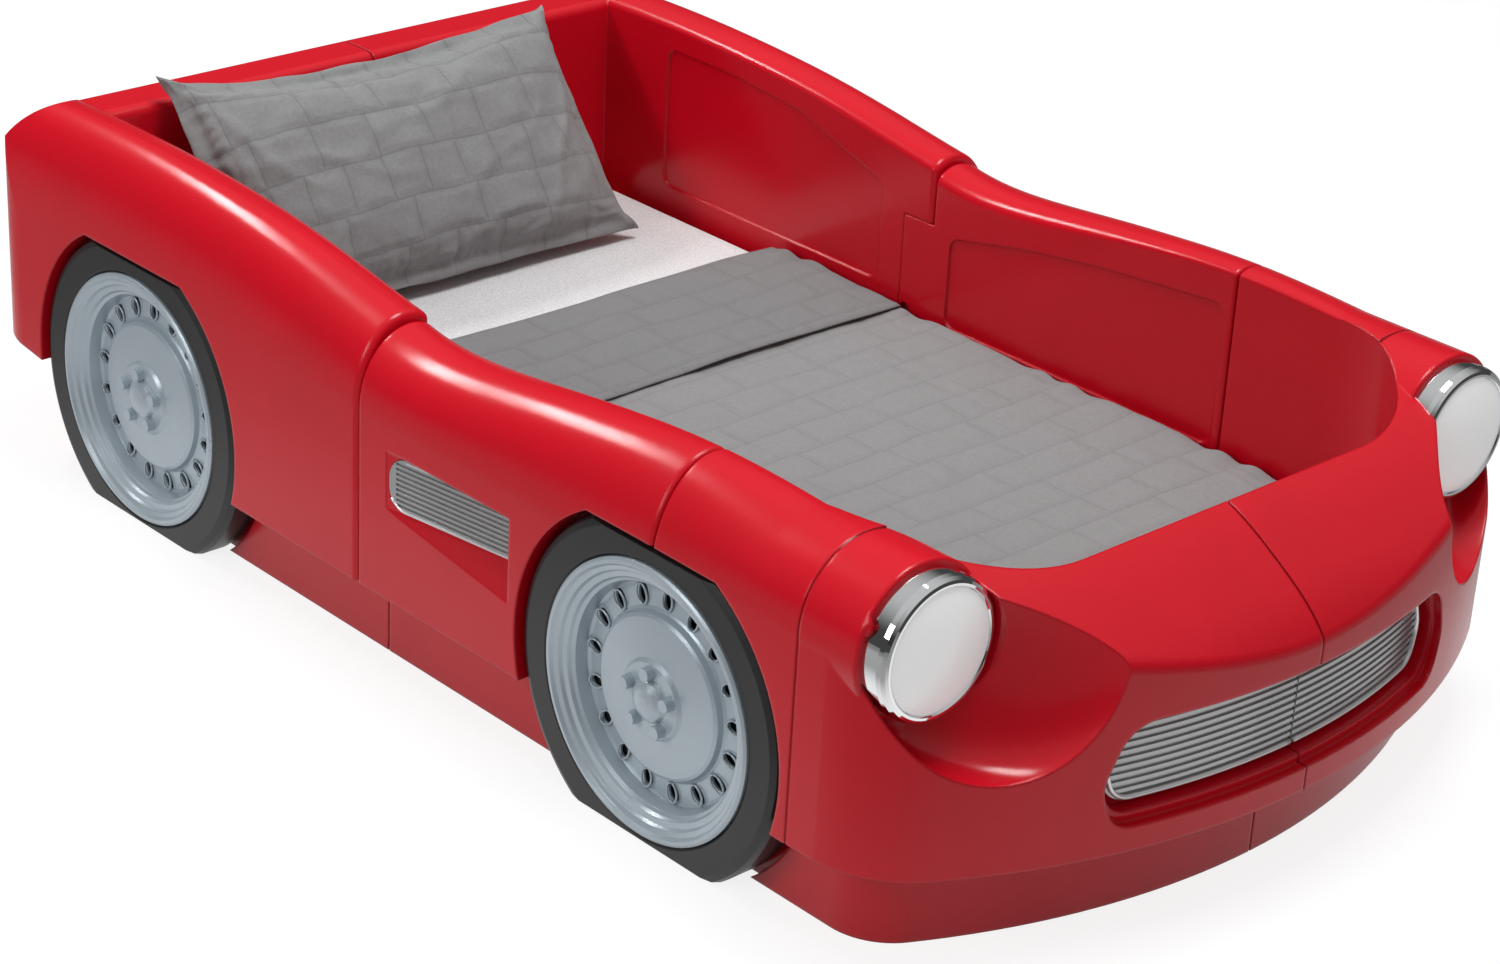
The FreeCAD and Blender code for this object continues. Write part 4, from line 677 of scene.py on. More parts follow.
def rounded_path(corners: list[Vector], radii: list[float], steps: int = 8) -> list[Vector]:
    """Round the corners of an open path.

    Args:
        corners: corner points in order.
        radii: rounding of each corner; the two ends are not rounded.
        steps: points on each rounded corner.

    Returns:
        Points along the rounded path.
    """
    path = [corners[0]]
    for index in range(1, len(corners) - 1):
        here = corners[index]
        back = (corners[index - 1] - here).normalized()
        ahead = (corners[index + 1] - here).normalized()
        half = back.angle(ahead) / 2.0
        reach = radii[index] / math.tan(half)
        centre = here + (back + ahead).normalized() * (radii[index] / math.sin(half))
        start = here + back * reach - centre
        end = here + ahead * reach - centre
        for step in range(steps + 1):
            mix = start.lerp(end, step / steps).normalized() * radii[index]
            path.append(centre + mix)
    path.append(corners[-1])
    return path


# ---------------------------------------------------------------- trim of the body


def frame_front() -> float:
    """Give the lowest Y of the two front panels."""
    return min(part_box(f"front_{side}_panel")[0].y for side in SIDES)


@dataclass
class BodyTrim:
    """Bright rims round the grille and the side vents, and raised lips round the hubcap vents."""

    workshop: Workshop
    nose_arc: float = 1.168
    grille_setback: float = 0.0315
    rim_radius: float = 0.0038
    rim_inset: float = 0.004
    rim_drop: float = 0.003
    rim_step: float = 0.012
    knee_height: float = 0.43
    rim_end: float = 0.55
    low_knee: float = 0.018
    top_knee: float = 0.034
    mouth_rounding: tuple[float, float, float] = (0.034, 0.046, 0.046)
    vent_ring: float = 0.143
    vent_half: tuple[float, float] = (0.015, 0.010)
    vent_count: int = 17
    vent_face: float = 0.0385
    lip_points: int = 20
    lip_radius: float = 0.0016

    def grille_rim(self, side: str) -> None:
        """Lay the rim of one grille along its lower edge and up its outer end.

        Args:
            side: right or left.
        """
        low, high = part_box(f"{side}_grille")
        sign = SIDES[side]
        reach = max(abs(low.x), abs(high.x)) - self.rim_inset
        bottom = low.z + self.rim_inset
        top = high.z - self.rim_drop
        corners = [Vector((0.004, 0.0, bottom)), Vector((reach - self.low_knee, 0.0, bottom)),
                   Vector((reach, 0.0, bottom + (top - bottom) * self.knee_height)),
                   Vector((reach - self.top_knee, 0.0, top)),
                   Vector((reach * self.rim_end, 0.0, top))]
        flat = rounded_path(corners, [0.0, *self.mouth_rounding, 0.0])
        dense: list[Vector] = []
        for first, second in zip(flat, flat[1:]):
            pieces = max(1, round((second - first).length / self.rim_step))
            dense += [first.lerp(second, step / pieces) for step in range(pieces)]
        dense.append(flat[-1])
        radius = self.nose_arc - self.grille_setback
        centre = frame_front() + self.nose_arc
        path = [Vector((sign * point.x, centre - math.sqrt(radius ** 2 - point.x ** 2), point.z))
                for point in dense]
        rim = tube(f"{side}_grille_rim", path, self.rim_radius)
        self.workshop.dress(rim, "rim", Body.BED, Slot.CHROME)

    def vent_rim(self, side: str) -> None:
        """Lay the rim of one side vent along its top, front end and lower edge.

        Args:
            side: right or left.
        """
        low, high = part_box(f"{side}_side_vent")
        rear_x = max(abs(low.x), abs(high.x))
        front_x = min(abs(low.x), abs(high.x)) + 0.008
        length = high.y - low.y
        height = high.z - low.z
        rear = height * 0.42
        inset = self.rim_inset * 0.7
        corners = [Vector((rear, 0.0, height - inset)),
                   Vector((length - inset, 0.0, height - inset)),
                   Vector((length - inset, 0.0, inset)), Vector((rear * 0.7, 0.0, inset)),
                   Vector((inset * 2.0, 0.0, height * 0.2))]
        flat = rounded_path(corners, [0.0, 0.012, 0.012, 0.028, 0.0])
        slope = (front_x - rear_x) / length
        path = [Vector((SIDES[side] * (rear_x + slope * point.x + 0.0002), high.y - point.x,
                        low.z + point.z)) for point in flat]
        rim = tube(f"{side}_vent_rim", path, self.rim_radius * 0.6)
        self.workshop.dress(rim, "rim", Body.BED, Slot.CHROME)

    def hubcap_lips(self, end: str, side: str) -> None:
        """Raise a fine lip round every vent of one hubcap.

        Args:
            end: front or rear.
            side: right or left.
        """
        low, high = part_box(f"{end}_{side}_hubcap")
        centre = (low + high) / 2.0
        face = SIDES[side] * (max(abs(low.x), abs(high.x)) - self.vent_face)
        lips = []
        for number in range(self.vent_count):
            turn = 2.0 * math.pi * number / self.vent_count
            path = []
            for step in range(self.lip_points):
                angle = 2.0 * math.pi * step / self.lip_points
                out = self.vent_ring + self.vent_half[0] * math.cos(angle)
                side_way = self.vent_half[1] * math.sin(angle)
                up = out * math.cos(turn) - side_way * math.sin(turn)
                back = out * math.sin(turn) + side_way * math.cos(turn)
                path.append(Vector((face, centre.y + back, centre.z + up)))
            lips.append(tube(f"lip_{number}", path, self.lip_radius, closed=True))
        joined = join_meshes(f"{end}_{side}_hubcap_lips", lips)
        self.workshop.dress(joined, "hubcap", Body.BED, Slot.HUBCAP)

    def build(self) -> None:
        """Make every trim piece."""
        for side in SIDES:
            self.grille_rim(side)
            self.vent_rim(side)
            for end in ENDS:
                self.hubcap_lips(end, side)


def join_meshes(name: str, pieces: list[bpy.types.Object]) -> bpy.types.Object:
    """Put several meshes into one object.

    Args:
        name: name of the new piece.
        pieces: mesh objects, which are removed.

    Returns:
        The joined object.
    """
    points: list[np.ndarray] = []
    faces: list[tuple[int, ...]] = []
    base = 0
    for piece in pieces:
        mesh = piece.data
        points.append(read_rows(mesh.vertices, "co", 3))
        faces += [tuple(number + base for number in face.vertices) for face in mesh.polygons]
        base += len(mesh.vertices)
        bpy.data.objects.remove(piece)
        bpy.data.meshes.remove(mesh)
    return mesh_object(name, np.concatenate(points), faces)


# ---------------------------------------------------------------- bedding


def stitch_distance(across: np.ndarray, along: np.ndarray, row: float,
                    cell: float) -> np.ndarray:
    """Distance to the nearest line of an irregular box stitch.

    Args:
        across: place across the cloth.
        along: place along it.
        row: distance between the long lines.
        cell: usual distance between the short lines.

    Returns:
        The distances, shaped as the given places.
    """
    number = np.floor(along / row)
    to_row = np.minimum(along - number * row, (number + 1.0) * row - along)
    shift = np.mod(number * ROW_SHIFT, 1.0) * cell
    spread = np.mod(number * ROW_SPREAD + SPREAD_START, 1.0)
    width = cell * (LEAST_WIDTH + WIDTH_SPREAD * spread)
    place = np.mod(across + shift, width)
    return np.minimum(to_row, np.minimum(place, width - place))


def waves(across: np.ndarray, along: np.ndarray, seed: float) -> np.ndarray:
    """Smooth uneven waviness made of a few crossing sines.

    Args:
        across: place across the cloth.
        along: place along it.
        seed: shifts the pattern.

    Returns:
        Heights between about -1 and 1.
    """
    total = np.zeros_like(across)
    for step in range(5):
        turn = seed + 1.7 * step
        pitch = 9.0 * 1.55 ** step
        total += np.sin(pitch * (across * math.cos(turn) + along * math.sin(turn))
                        + 2.3 * step * seed
                        + 0.8 * np.sin(pitch * 0.4 * (along - across) + turn)) / (1.3 ** step)
    return total / 3.0


@dataclass
class Swelling:
    """How a padded piece is swollen."""

    pressure: float
    frames: int
    cap: float
    shrink: float


CLOTH = {"quality": 5, "mass": 0.25, "tension_stiffness": 18.0, "compression_stiffness": 8.0,
         "shear_stiffness": 6.0, "bending_stiffness": 0.4, "use_pressure": True,
         "pin_stiffness": 1.0}


def swell(piece: bpy.types.Object, settings: Swelling, pins: list[int]) -> None:
    """Swell a closed cloth by air pressure and keep the result in its mesh.

    Args:
        piece: closed mesh object.
        settings: pressure, frames, how far a point may move and how much the cloth shrinks.
        pins: numbers of the points that the stitches hold.
    """
    mesh = piece.data
    before = read_rows(mesh.vertices, "co", 3)
    cloth = piece.modifiers.new("swell", "CLOTH")
    values = cloth.settings
    for name, value in CLOTH.items():
        setattr(values, name, value)
    values.uniform_pressure_force = settings.pressure
    values.shrink_min = settings.shrink
    values.effector_weights.gravity = 0.0
    cloth.collision_settings.use_collision = False
    cloth.point_cache.frame_start = 1
    cloth.point_cache.frame_end = settings.frames
    if pins:
        held = piece.vertex_groups.new(name="stitches")
        held.add(pins, 1.0, "REPLACE")
        values.vertex_group_mass = "stitches"
    scene = bpy.context.scene
    for number in range(1, settings.frames + 1):
        scene.frame_set(number)
    graph = bpy.context.evaluated_depsgraph_get()
    after = read_rows(piece.evaluated_get(graph).to_mesh().vertices, "co", 3)
    piece.evaluated_get(graph).to_mesh_clear()
    piece.modifiers.remove(cloth)
    scene.frame_set(1)
    move = after - before
    reach = np.linalg.norm(move, axis=1)
    share = np.minimum(1.0, settings.cap / np.maximum(reach, 1e-9))
    mesh.vertices.foreach_set("co", (before + move * share[:, None]).ravel())
    mesh.update()


def refine(piece: bpy.types.Object) -> None:
    """Subdivide a piece once, smoothly, and keep the result in its mesh.

    Args:
        piece: mesh object.
    """
    divide = piece.modifiers.new("refine", "SUBSURF")
    divide.levels = divide.render_levels = 1
    graph = bpy.context.evaluated_depsgraph_get()
    mesh = bpy.data.meshes.new_from_object(piece.evaluated_get(graph))
    piece.modifiers.remove(divide)
    old = piece.data
    piece.data = mesh
    mesh.name = piece.name
    bpy.data.meshes.remove(old)


Place = Callable[[np.ndarray, np.ndarray, np.ndarray], np.ndarray]


@dataclass
class StitchedPad:
    """Two layers of cloth with filling between them, stitched in boxes."""

    name: str
    width: float
    length: float
    grid: float
    row: float
    cell: float
    half_thickness: Callable[[np.ndarray, np.ndarray], np.ndarray]
    place: Place
    pins: list[int] = field(default_factory=list)
    flat: np.ndarray | None = None

    def build(self) -> bpy.types.Object:
        """Build the closed pad.

        Returns:
            The pad as a mesh object.
        """
        columns = max(4, round(self.width / self.grid))
        rows = max(4, round(self.length / self.grid))
        across, along = np.meshgrid(np.linspace(-self.width / 2, self.width / 2, columns + 1),
                                    np.linspace(0.0, self.length, rows + 1), indexing="ij")
        half = self.half_thickness(across, along)
        top = self.place(across, along, half)
        bottom = self.place(across, along, -half)
        edge = np.zeros(across.shape, bool)
        edge[0, :] = edge[-1, :] = True
        edge[:, 0] = edge[:, -1] = True
        numbers = np.arange(across.size).reshape(across.shape)
        under = numbers.copy()
        inner = ~edge
        under[inner] = across.size + np.arange(int(inner.sum()))
        points = np.concatenate([top.reshape(-1, 3), bottom[inner]])
        quads = []
        for layer, flip in ((numbers, False), (under, True)):
            corners = np.stack([layer[:-1, :-1], layer[1:, :-1], layer[1:, 1:],
                                layer[:-1, 1:]], axis=-1).reshape(-1, 4)
            quads.append(corners[:, ::-1] if flip else corners)
        faces = [tuple(int(number) for number in quad) for quad in np.concatenate(quads)]
        line = stitch_distance(across, along, self.row, self.cell) < self.grid * 0.55
        self.pins = sorted({int(number) for number in numbers[line | edge]}
                           | {int(number) for number in under[line | edge]})
        piece = mesh_object(self.name, points, faces)
        self.flat = np.concatenate([np.stack([across, along], axis=-1).reshape(-1, 2),
                                    np.stack([across[inner], along[inner]], axis=-1)])
        self.map_cloth(piece, self.flat)
        return piece

    @staticmethod
    def map_cloth(piece: bpy.types.Object, flat: np.ndarray) -> None:
        """Keep where each point lies in the flat cloth, for the stitching.

        Args:
            piece: the pad.
            flat: place across and along the cloth, one row for each point.
        """
        mesh = piece.data
        layer = mesh.uv_layers.new(name=CLOTH_MAP)
        corners = read_rows(mesh.loops, "vertex_index", 1, np.int32)[:, 0]
        layer.data.foreach_set("uv", flat[corners].astype(np.float32).ravel())


@dataclass
class Quilt:
    """Quilt over the mattress with its head end turned down."""

    workshop: Workshop
    grid: float = 0.0085
    band: float = 0.318
    corner: float = 0.225
    tuck: float = 0.012
    foot_gap: float = 0.001
    air: float = 0.0035
    rest: float = 0.0026
    puff: float = 0.0011
    hem: float = 0.0007
    roll: float = 0.005
    gather: float = 0.0035

    def build(self) -> None:
        """Build, swell and dress the quilt."""
        low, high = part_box("quilt")
        sheet_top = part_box("fitted_sheet")[1].z
        layer = (high.z - sheet_top) / 2.0
        half_width = (high.x - low.x) / 2.0 - 0.001
        drop = sheet_top - low.z - 0.006
        turn = layer / 2.0
        flat_length = high.y - low.y - turn - 0.002
        length = flat_length + math.pi * turn + self.band
        side_edge = half_width - layer / 2.0
        width = 2.0 * (side_edge + drop)
        corner, tuck, foot = self.corner, self.tuck, low.y + self.foot_gap

        def lay(across: np.ndarray, along: np.ndarray, lift: np.ndarray) -> np.ndarray:
            """Carry the flat pad to its place on the bed."""
            over = along - flat_length
            bend = np.clip(over / turn, 0.0, math.pi)
            past = np.maximum(over - math.pi * turn, 0.0)
            y = foot + np.minimum(along, flat_length) + (turn - lift) * np.sin(bend) - past
            centre = sheet_top + self.air + turn
            z = centre - (turn - lift) * np.cos(bend)
            beside = np.abs(across) - side_edge
            fall = np.clip(beside / tuck, 0.0, math.pi / 2.0)
            under = np.maximum(beside - tuck * math.pi / 2.0, 0.0)
            reach = np.minimum(np.abs(across), side_edge)
            x = np.sign(across) * (reach + (tuck * 0.35 + lift * 0.6) * np.sin(fall))
            z = z - (tuck * (1.0 - np.cos(fall)) + under)
            room = np.maximum(corner - (y - foot), 0.0)
            limit = half_width - corner + np.sqrt(np.maximum(corner ** 2 - room ** 2, 0.0))
            x = np.clip(x, -limit, limit)
            roll = self.roll * waves(across, along * 1.2, 0.7) * (beside < 0.0)
            near_side = np.exp(-((side_edge - np.abs(across)) / 0.03) ** 2)
            gather = np.sin(48.0 * along + 3.0 * np.sin(17.0 * along)) * near_side
            z = z + np.maximum(roll, -0.002) + self.gather * gather
            return np.stack([x, y, z], axis=-1)

        def thickness(across: np.ndarray, along: np.ndarray) -> np.ndarray:
            """Half thickness of the pad before it is swollen."""
            line = stitch_distance(across, along, QUILT_ROW, QUILT_CELL)
            edge = np.minimum(width / 2.0 - np.abs(across), np.minimum(along, length - along))
            swell_share = np.clip(line / 0.02, 0.0, 1.0) ** 0.6
            rim = np.clip(edge / 0.012, 0.0, 1.0)
            return self.hem + (self.rest + self.puff * swell_share) * rim

        pad = StitchedPad("dressed_quilt", width, length, self.grid, QUILT_ROW, QUILT_CELL,
                          thickness, lay)
        piece = pad.build()
        swell(piece, Swelling(pressure=3.0, frames=12, cap=0.0026, shrink=-0.05), pad.pins)
        refine(piece)
        self.workshop.dress(piece, "quilt", Body.QUILT, Slot.QUILT, "quilt")
        self.paint_band_shade(piece, flat_length + math.pi * turn / 2.0)

    def paint_band_shade(self, piece: bpy.types.Object, fold: float) -> None:
        """Paint shade on the turned-down end by giving it a darker copy of the quilt's cloth.

        Args:
            piece: the quilt.
            fold: place of the fold along the flat quilt.
        """
        mesh = piece.data
        mesh.materials.append(self.workshop.made["shaded_band"])
        along = read_rows(mesh.uv_layers[CLOTH_MAP].data, "uv", 2)[:, 1]
        starts = read_rows(mesh.polygons, "loop_start", 1, np.int32)[:, 0]
        mesh.polygons.foreach_set("material_index", (along[starts] > fold).astype(np.int32))
        mesh.update()


@dataclass
class Pillow:
    """Pillow in a quilted sham with a flange, leaning on the head wall."""

    workshop: Workshop
    lean_degrees: float = 50.5
    width: float = 0.815
    height: float = 0.452
    loft: float = 0.062
    flange: float = 0.028
    grid: float = 0.0075
    hem: float = 0.0014
    side_pull: float = 0.012
    end_pull: float = 0.010
    flap: float = 0.006
    ear: float = 0.030
    dip: float = 0.008
    stitch_depth: float = 0.0008
    seam_depth: float = 0.0045
    pleat: float = 0.0028
    softness: float = 0.006

    def build(self) -> None:
        """Build, swell, stitch and dress the pillow."""
        low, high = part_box("pillow")
        lean = math.radians(self.lean_degrees)
        rise = Vector((0.0, math.cos(lean), math.sin(lean)))
        out = Vector((0.0, -math.sin(lean), math.cos(lean)))
        middle = (low + high) / 2.0

        def thickness(across: np.ndarray, along: np.ndarray) -> np.ndarray:
            """Half thickness before the pillow is swollen."""
            u = np.abs(across) / (self.width / 2.0 - self.flange)
            v = np.abs(along - self.height / 2.0) / (self.height / 2.0 - self.flange)
            body = np.clip(1.0 - u ** 3.2, 0.0, 1.0) * np.clip(1.0 - v ** 2.6, 0.0, 1.0)
            return self.hem + self.loft * body ** 0.62

        def lay(across: np.ndarray, along: np.ndarray, lift: np.ndarray) -> np.ndarray:
            """Carry the flat pillow to its lean against the head wall."""
            up = along - self.height / 2.0
            u = across / (self.width / 2.0)
            v = up / (self.height / 2.0)
            pull_side = self.side_pull * (1.0 - v ** 2) * np.abs(u) ** 3 * np.sign(u)
            pull_end = self.end_pull * (1.0 - u ** 2) * np.abs(v) ** 3 * np.sign(v)
            flap = self.flap * waves(across * 2.2, along * 2.2, 1.9) * np.clip(
                np.maximum(np.abs(u), np.abs(v)) * 6.0 - 5.0, 0.0, 1.0)
            top = np.clip(v, 0.0, 1.0)
            ear = self.ear * np.clip(-u, 0.0, 1.0) ** 2.2 * top ** 2.0
            up = up + ear - self.dip * np.cos(2.4 * u + 0.5) * top ** 3
            x = middle.x + across - pull_side
            y = middle.y + (up - pull_end) * rise.y + (lift + flap) * out.y
            z = middle.z + (up - pull_end) * rise.z + (lift + flap) * out.z
            return np.stack([x, y, z], axis=-1)

        pad = StitchedPad("dressed_pillow", self.width, self.height, self.grid, SHAM_ROW,
                          SHAM_CELL, thickness, lay)
        piece = pad.build()
        swell(piece, Swelling(pressure=5.0, frames=20, cap=0.016, shrink=-0.04), [])
        self.stitch(piece, pad.flat[:, 0], pad.flat[:, 1])
        refine(piece)
        self.workshop.dress(piece, "pillow", Body.PILLOW, Slot.PILLOW, "pillow")

    def stitch(self, piece: bpy.types.Object, across: np.ndarray, up: np.ndarray) -> None:
        """Press the stitch lines, the seam of the flange and long creases into the cover.

        Args:
            piece: the swollen pillow.
            across: place of each point across the flat cover.
            up: place of each point up the flat cover.
        """
        mesh = piece.data
        points = read_rows(mesh.vertices, "co", 3)
        normals = read_rows(mesh.vertex_normals, "vector", 3)
        line = stitch_distance(across, up, SHAM_ROW, SHAM_CELL)
        seam = np.minimum(self.width / 2.0 - self.flange - np.abs(across),
                          self.height / 2.0 - self.flange - np.abs(up - self.height / 2.0))
        inside = np.clip(seam / 0.01, 0.0, 1.0)
        groove = self.stitch_depth * np.exp(-(line / 0.007) ** 2) * inside
        groove += self.seam_depth * np.exp(-(seam / 0.006) ** 2)
        ripple = np.sin(115.0 * (across + up) + 8.0 * np.sin(31.0 * (across - up)))
        pleats = self.pleat * ripple * np.exp(-((seam - 0.012) / 0.02) ** 2)
        soft = self.softness * waves(across * 1.6, up * 2.4, 0.4)
        points = points + normals * (soft + pleats + self.creases(across, up) * inside
                                     - groove)[:, None]
        mesh.vertices.foreach_set("co", points.ravel())
        mesh.update()

    @staticmethod
    def creases(across: np.ndarray, up: np.ndarray) -> np.ndarray:
        """Long soft creases that run from the lower corner up the cover.

        Args:
            across: place across the flat cover.
            up: place up it.

        Returns:
            Height of the creases.
        """
        total = np.zeros_like(across)
        for x, y, turn, length, depth in (
                (0.26, 0.16, 0.9, 0.17, 0.006), (0.31, 0.24, 1.25, 0.13, 0.005),
                (0.16, 0.20, 0.55, 0.15, 0.004), (0.02, 0.30, 0.35, 0.16, 0.0035),
                (-0.18, 0.24, -0.3, 0.15, 0.004), (-0.30, 0.30, -0.9, 0.12, 0.005),
                (-0.24, 0.12, 0.25, 0.13, 0.0035), (0.10, 0.08, 0.2, 0.18, 0.0035)):
            ahead = (across - x) * math.cos(turn) + (up - y) * math.sin(turn)
            aside = (up - y) * math.cos(turn) - (across - x) * math.sin(turn)
            aside = aside + 0.012 * np.sin(ahead * 26.0 + x * 40.0)
            total += depth * np.exp(-(ahead / length) ** 2 - (aside / 0.011) ** 2)
        return total


@dataclass
class Mattress:
    """Foam mattress and the fitted sheet pulled over it."""

    workshop: Workshop
    corner: float = 0.08
    edge: float = 0.028
    edge_rings: int = 9
    arc_steps: int = 16
    top_rings: int = 14
    ripple: float = 0.0016
    foot: tuple[float, float] = (0.02, 0.01)
    sheet_corner: float = 0.0812
    sheet_edge: float = 0.029

    def shell(self, name: str, node: str, corner: float, edge: float,
              closed: bool) -> bpy.types.Object:
        """Make a rounded block in a node's box, or its top and sides alone.

        Args:
            name: name of the piece.
            node: node whose box it fills.
            corner: corner radius in plan.
            edge: radius of the upper edge.
            closed: whether the bottom is closed too.

        Returns:
            The mesh object.
        """
        low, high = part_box(node)
        half = (high - low) / 2.0
        centre = np.array(((high + low) / 2.0).xy)
        starts, directions = [], []
        for quarter, (side_x, side_y) in enumerate(((1, 1), (-1, 1), (-1, -1), (1, -1))):
            for step in range(self.arc_steps + 1):
                turn = math.pi / 2.0 * (quarter + step / self.arc_steps)
                starts.append((side_x * (half.x - corner), side_y * (half.y - corner)))
                directions.append((math.cos(turn), math.sin(turn)))
        base, out = np.array(starts), np.array(directions)
        around = len(base)
        wall = high.z - edge - low.z
        rings = [(0.0, low.z)]
        if closed:
            rings = [(self.foot[0], low.z), (0.0, low.z + self.foot[1])]
        rings += [(0.0, low.z + wall * share) for share in (0.25, 0.5, 0.75)]
        for step in range(self.edge_rings):
            turn = math.pi / 2.0 * step / (self.edge_rings - 1)
            rings.append((edge * (1.0 - math.cos(turn)), high.z - edge + edge * math.sin(turn)))
        points = [np.column_stack([centre + base + out * (corner - inset),
                                   np.full(around, height)]) for inset, height in rings]
        for number in range(1, self.top_rings):
            share = 1.0 - number / self.top_rings
            flat = (base + out * (corner - edge)) * share
            ripple = self.ripple * waves(flat[:, 0] * 1.4, flat[:, 1], 2.1)
            points.append(np.column_stack([centre + flat, high.z + ripple * (1.0 - share)]))
        faces = grid_faces(len(points), around)
        last = (len(points) - 1) * around
        faces.append(tuple(range(last, last + around)))
        if closed:
            faces.append(tuple(range(around - 1, -1, -1)))
        return mesh_object(name, np.concatenate(points), faces)

    def build(self) -> None:
        """Build and dress the mattress and its sheet."""
        core = self.shell("dressed_mattress", "mattress", self.corner, self.edge, True)
        self.workshop.dress(core, "ticking", Body.MATTRESS, Slot.MATTRESS, "mattress")
        cover = self.shell("dressed_sheet", "fitted_sheet", self.sheet_corner, self.sheet_edge,
                           False)
        self.workshop.dress(cover, "sheet", Body.MATTRESS, Slot.SHEET, "fitted_sheet")


# ---------------------------------------------------------------- carried-over nodes


def node_finishes() -> dict[str, str]:
    """Name the finish of every carried-over node.

    Returns:
        Finish keys by node name.
    """
    plan = {"mattress_slats": "wood", "joining_plates": "steel"}
    plan.update({f"{place}_screws": "steel" for place in ("lap", "wheel", "plate", "slat")})
    lamp = {"headlight_bezel": "chrome", "headlight_lens": "lens", "lens_carrier": "white",
            "lamp_housing": "white", "light_board": "board", "lamp_spring": "steel",
            "lamp_cells": "cell"}
    flank = {"door_panel": "body", "grille": "insert", "side_vent": "insert"}
    corner = {"panel": "body", "tyre": "tyre", "hubcap": "hubcap"}
    for side in SIDES:
        plan.update({f"{side}_{node}": finish for node, finish in (lamp | flank).items()})
        for end in ENDS:
            plan.update({f"{end}_{side}_{node}": finish for node, finish in corner.items()})
    return plan


# ---------------------------------------------------------------- stage, light and camera


@dataclass
class PhotoCamera:
    """Camera that stands where the photographer stood."""

    place: tuple[float, float, float] = (-3.38237, -3.52558, 2.50559)
    heading: float = 43.968
    look_down: float = 25.664
    roll: float = 3.2415
    lens: float = 83.23

    def build(self) -> None:
        """Set up the camera."""
        data = bpy.data.cameras.new("photo_camera")
        data.sensor_width = 36.0
        data.lens = self.lens
        data.clip_end = 100.0
        camera = bpy.data.objects.new("photo_camera", data)
        bpy.context.collection.objects.link(camera)
        turn = (Matrix.Rotation(math.radians(-self.heading), 4, "Z")
                @ Matrix.Rotation(math.radians(90.0 - self.look_down), 4, "X")
                @ Matrix.Rotation(math.radians(self.roll), 4, "Z"))
        camera.matrix_world = Matrix.Translation(Vector(self.place)) @ turn
        bpy.context.scene.camera = camera


@dataclass
class SoftBox:
    """Rectangular studio lamp."""

    name: str
    place: tuple[float, float, float]
    aim: tuple[float, float, float]
    size: tuple[float, float]
    power: float

    def build(self) -> None:
        """Hang the lamp."""
        data = bpy.data.lights.new(self.name, "AREA")
        data.shape = "RECTANGLE"
        data.size, data.size_y = self.size
        data.energy = self.power
        lamp = bpy.data.objects.new(self.name, data)
        bpy.context.collection.objects.link(lamp)
        lamp.location = self.place
        away = Vector(self.place) - Vector(self.aim)
        lamp.rotation_euler = away.to_track_quat("Z", "Y").to_euler()


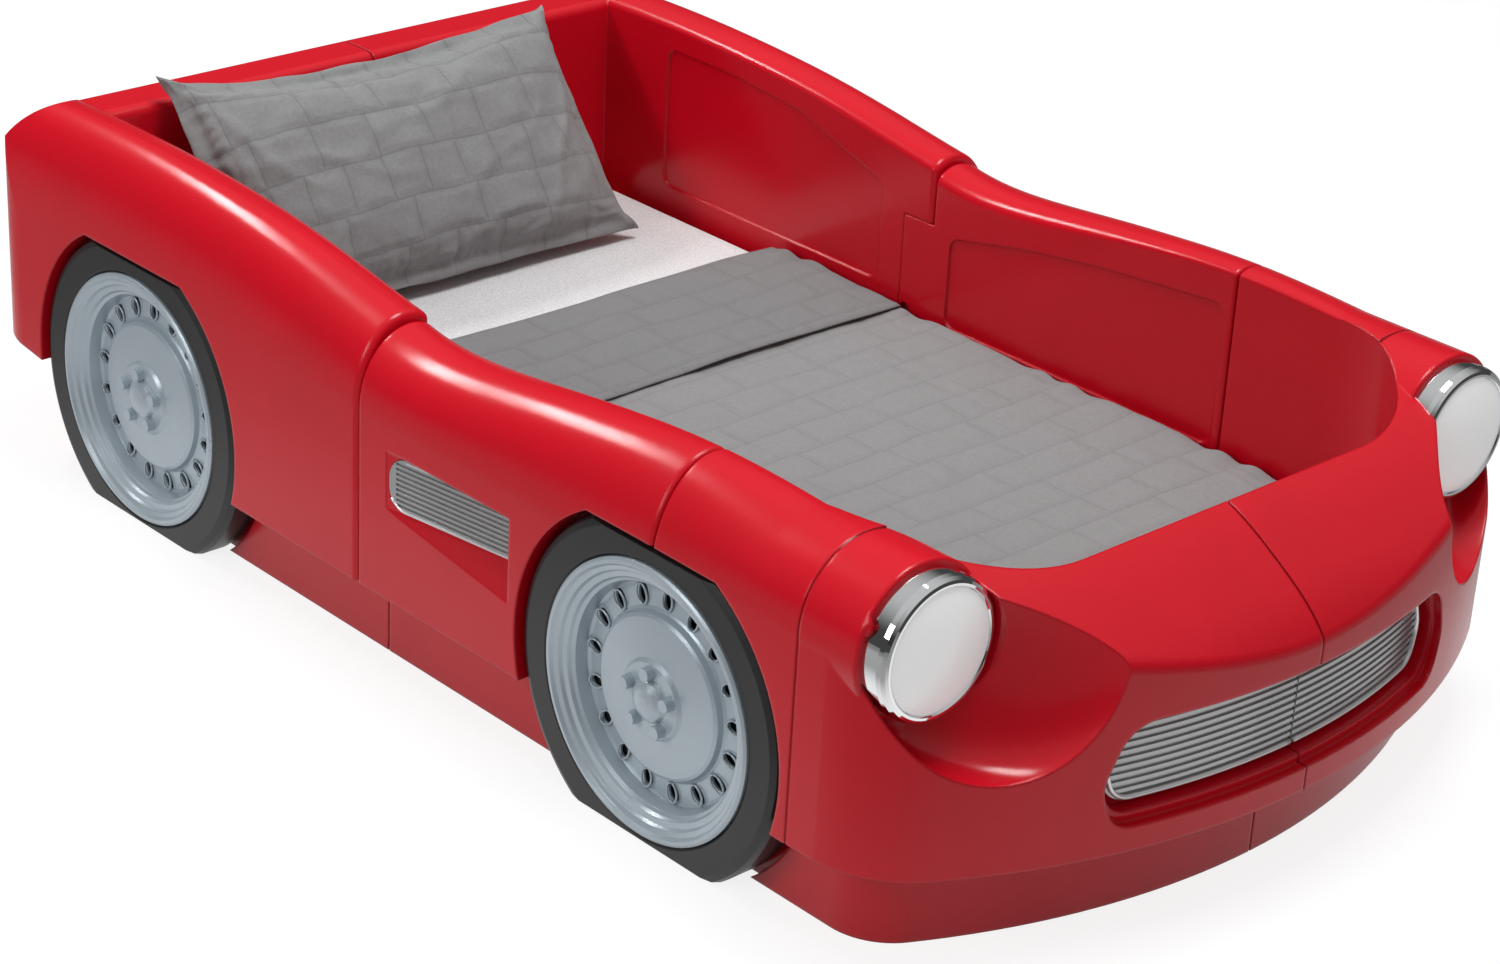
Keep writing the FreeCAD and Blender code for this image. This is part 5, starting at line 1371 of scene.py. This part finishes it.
@dataclass
class Studio:
    """White studio: floor, world, lamps and a dark card for the chrome to mirror."""

    floor_glow: float = 0.84
    floor_reach: float = 30.0
    fill: float = 0.55
    ceiling: tuple[float, float, float, float] = (0.3, 0.9, 0.07, 0.7)
    floor_mirror: tuple[float, float, float, float] = (0.75, 1.4, 0.75, 0.12)
    boxes: tuple[SoftBox, ...] = (
        SoftBox("rim_box", (-1.0, 3.4, 3.6), (-0.4, 0.3, 0.4), (1.3, 0.45), 62.0),
        SoftBox("top_box", (0.4, -0.6, 4.6), (0.0, 0.0, 0.3), (1.7, 1.5), 135.0),
        SoftBox("side_box", (-4.2, 0.4, 2.4), (-0.4, 0.0, 0.3), (1.6, 1.4), 46.0),
    )

    def world(self) -> None:
        """Light the scene evenly; seen directly it is plain white, in mirrors bright above."""
        world = bpy.data.worlds.new("white_studio")
        bpy.context.scene.world = world
        world.use_nodes = True
        sheet = NodeSheet(world.node_tree)
        path = sheet.add("ShaderNodeLightPath").outputs
        place = sheet.add("ShaderNodeTexCoord").outputs["Generated"]
        height = sheet.add("ShaderNodeSeparateXYZ", Vector=place).outputs["Z"]
        light = sheet.mix(path["Is Glossy Ray"], self.fill, sheet.span(height, *self.ceiling))
        seen = sheet.compute("MAXIMUM", path["Is Camera Ray"], path["Is Transmission Ray"])
        back = sheet.add("ShaderNodeBackground", Strength=sheet.compute("MAXIMUM", light, seen))
        sheet.add("ShaderNodeOutputWorld", Surface=back.outputs[0])

    def floor(self) -> None:
        """Lay the white floor, which keeps the bed's soft shadow."""
        corners = np.array([(-1.0, -1.0, 0.0), (1.0, -1.0, 0.0), (1.0, 1.0, 0.0),
                            (-1.0, 1.0, 0.0)]) * self.floor_reach
        floor = mesh_object("studio_floor", corners, [(0, 1, 2, 3)])
        material, sheet, both = start_material("studio_floor", "ShaderNodeAddShader")
        path = sheet.add("ShaderNodeLightPath").outputs
        camera, glossy = path["Is Camera Ray"], path["Is Glossy Ray"]
        oval = sheet.add("ShaderNodeMapping", vector_type="POINT", Vector=sheet.place(),
                         Scale=(1.0, 0.55, 1.0)).outputs["Vector"]
        away = sheet.add("ShaderNodeVectorMath", operation="LENGTH", Vector=oval)
        mirrored = sheet.compute("MULTIPLY", glossy,
                                 sheet.span(away.outputs["Value"], *self.floor_mirror))
        direct = sheet.compute("MULTIPLY", camera, self.floor_glow)
        seen = sheet.compute("MAXIMUM", camera, glossy)
        matt = sheet.add("ShaderNodeBsdfDiffuse",
                         Color=sheet.mix(seen, (0.5, 0.5, 0.5), (0.2, 0.2, 0.2)))
        glow = sheet.add("ShaderNodeEmission", Strength=sheet.compute("ADD", mirrored, direct))
        sheet.feed(both.inputs[0], matt.outputs[0])
        sheet.feed(both.inputs[1], glow.outputs[0])
        floor.data.materials.append(material)

    def card(self) -> None:
        """Stand up the dark card that gives the chrome its dark band."""
        corners = np.array([(-5.2, -2.2, 1.1), (-2.9, -4.6, 1.1), (-2.9, -4.6, 2.0),
                            (-5.2, -2.2, 2.0)])
        card = mesh_object("dark_card", corners, [(0, 1, 2, 3)])
        material, sheet, shader = start_material("dark_card")
        sheet.fill(shader, Base_Color=(0.01, 0.01, 0.01))
        card.data.materials.append(material)
        card.visible_camera = False
        card.visible_diffuse = False
        card.visible_shadow = False

    def build(self) -> None:
        """Set up the whole studio."""
        self.world()
        self.floor()
        self.card()
        for box in self.boxes:
            box.build()
        bpy.context.scene.view_settings.view_transform = "Standard"


def main() -> None:
    """Dress the bed, make its bedding and set up the studio."""
    logging.basicConfig(level=logging.INFO, format="%(name)s: %(message)s")
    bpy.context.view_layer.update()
    PhotoCamera().build()
    workshop = Workshop()
    for node, finish in node_finishes().items():
        workshop.dress_node(node, finish)
    LOG.info("dressed the solids")
    BodyTrim(workshop).build()
    Mattress(workshop).build()
    Quilt(workshop).build()
    Pillow(workshop).build()
    Studio().build()


if __name__ == "__main__":
    main()
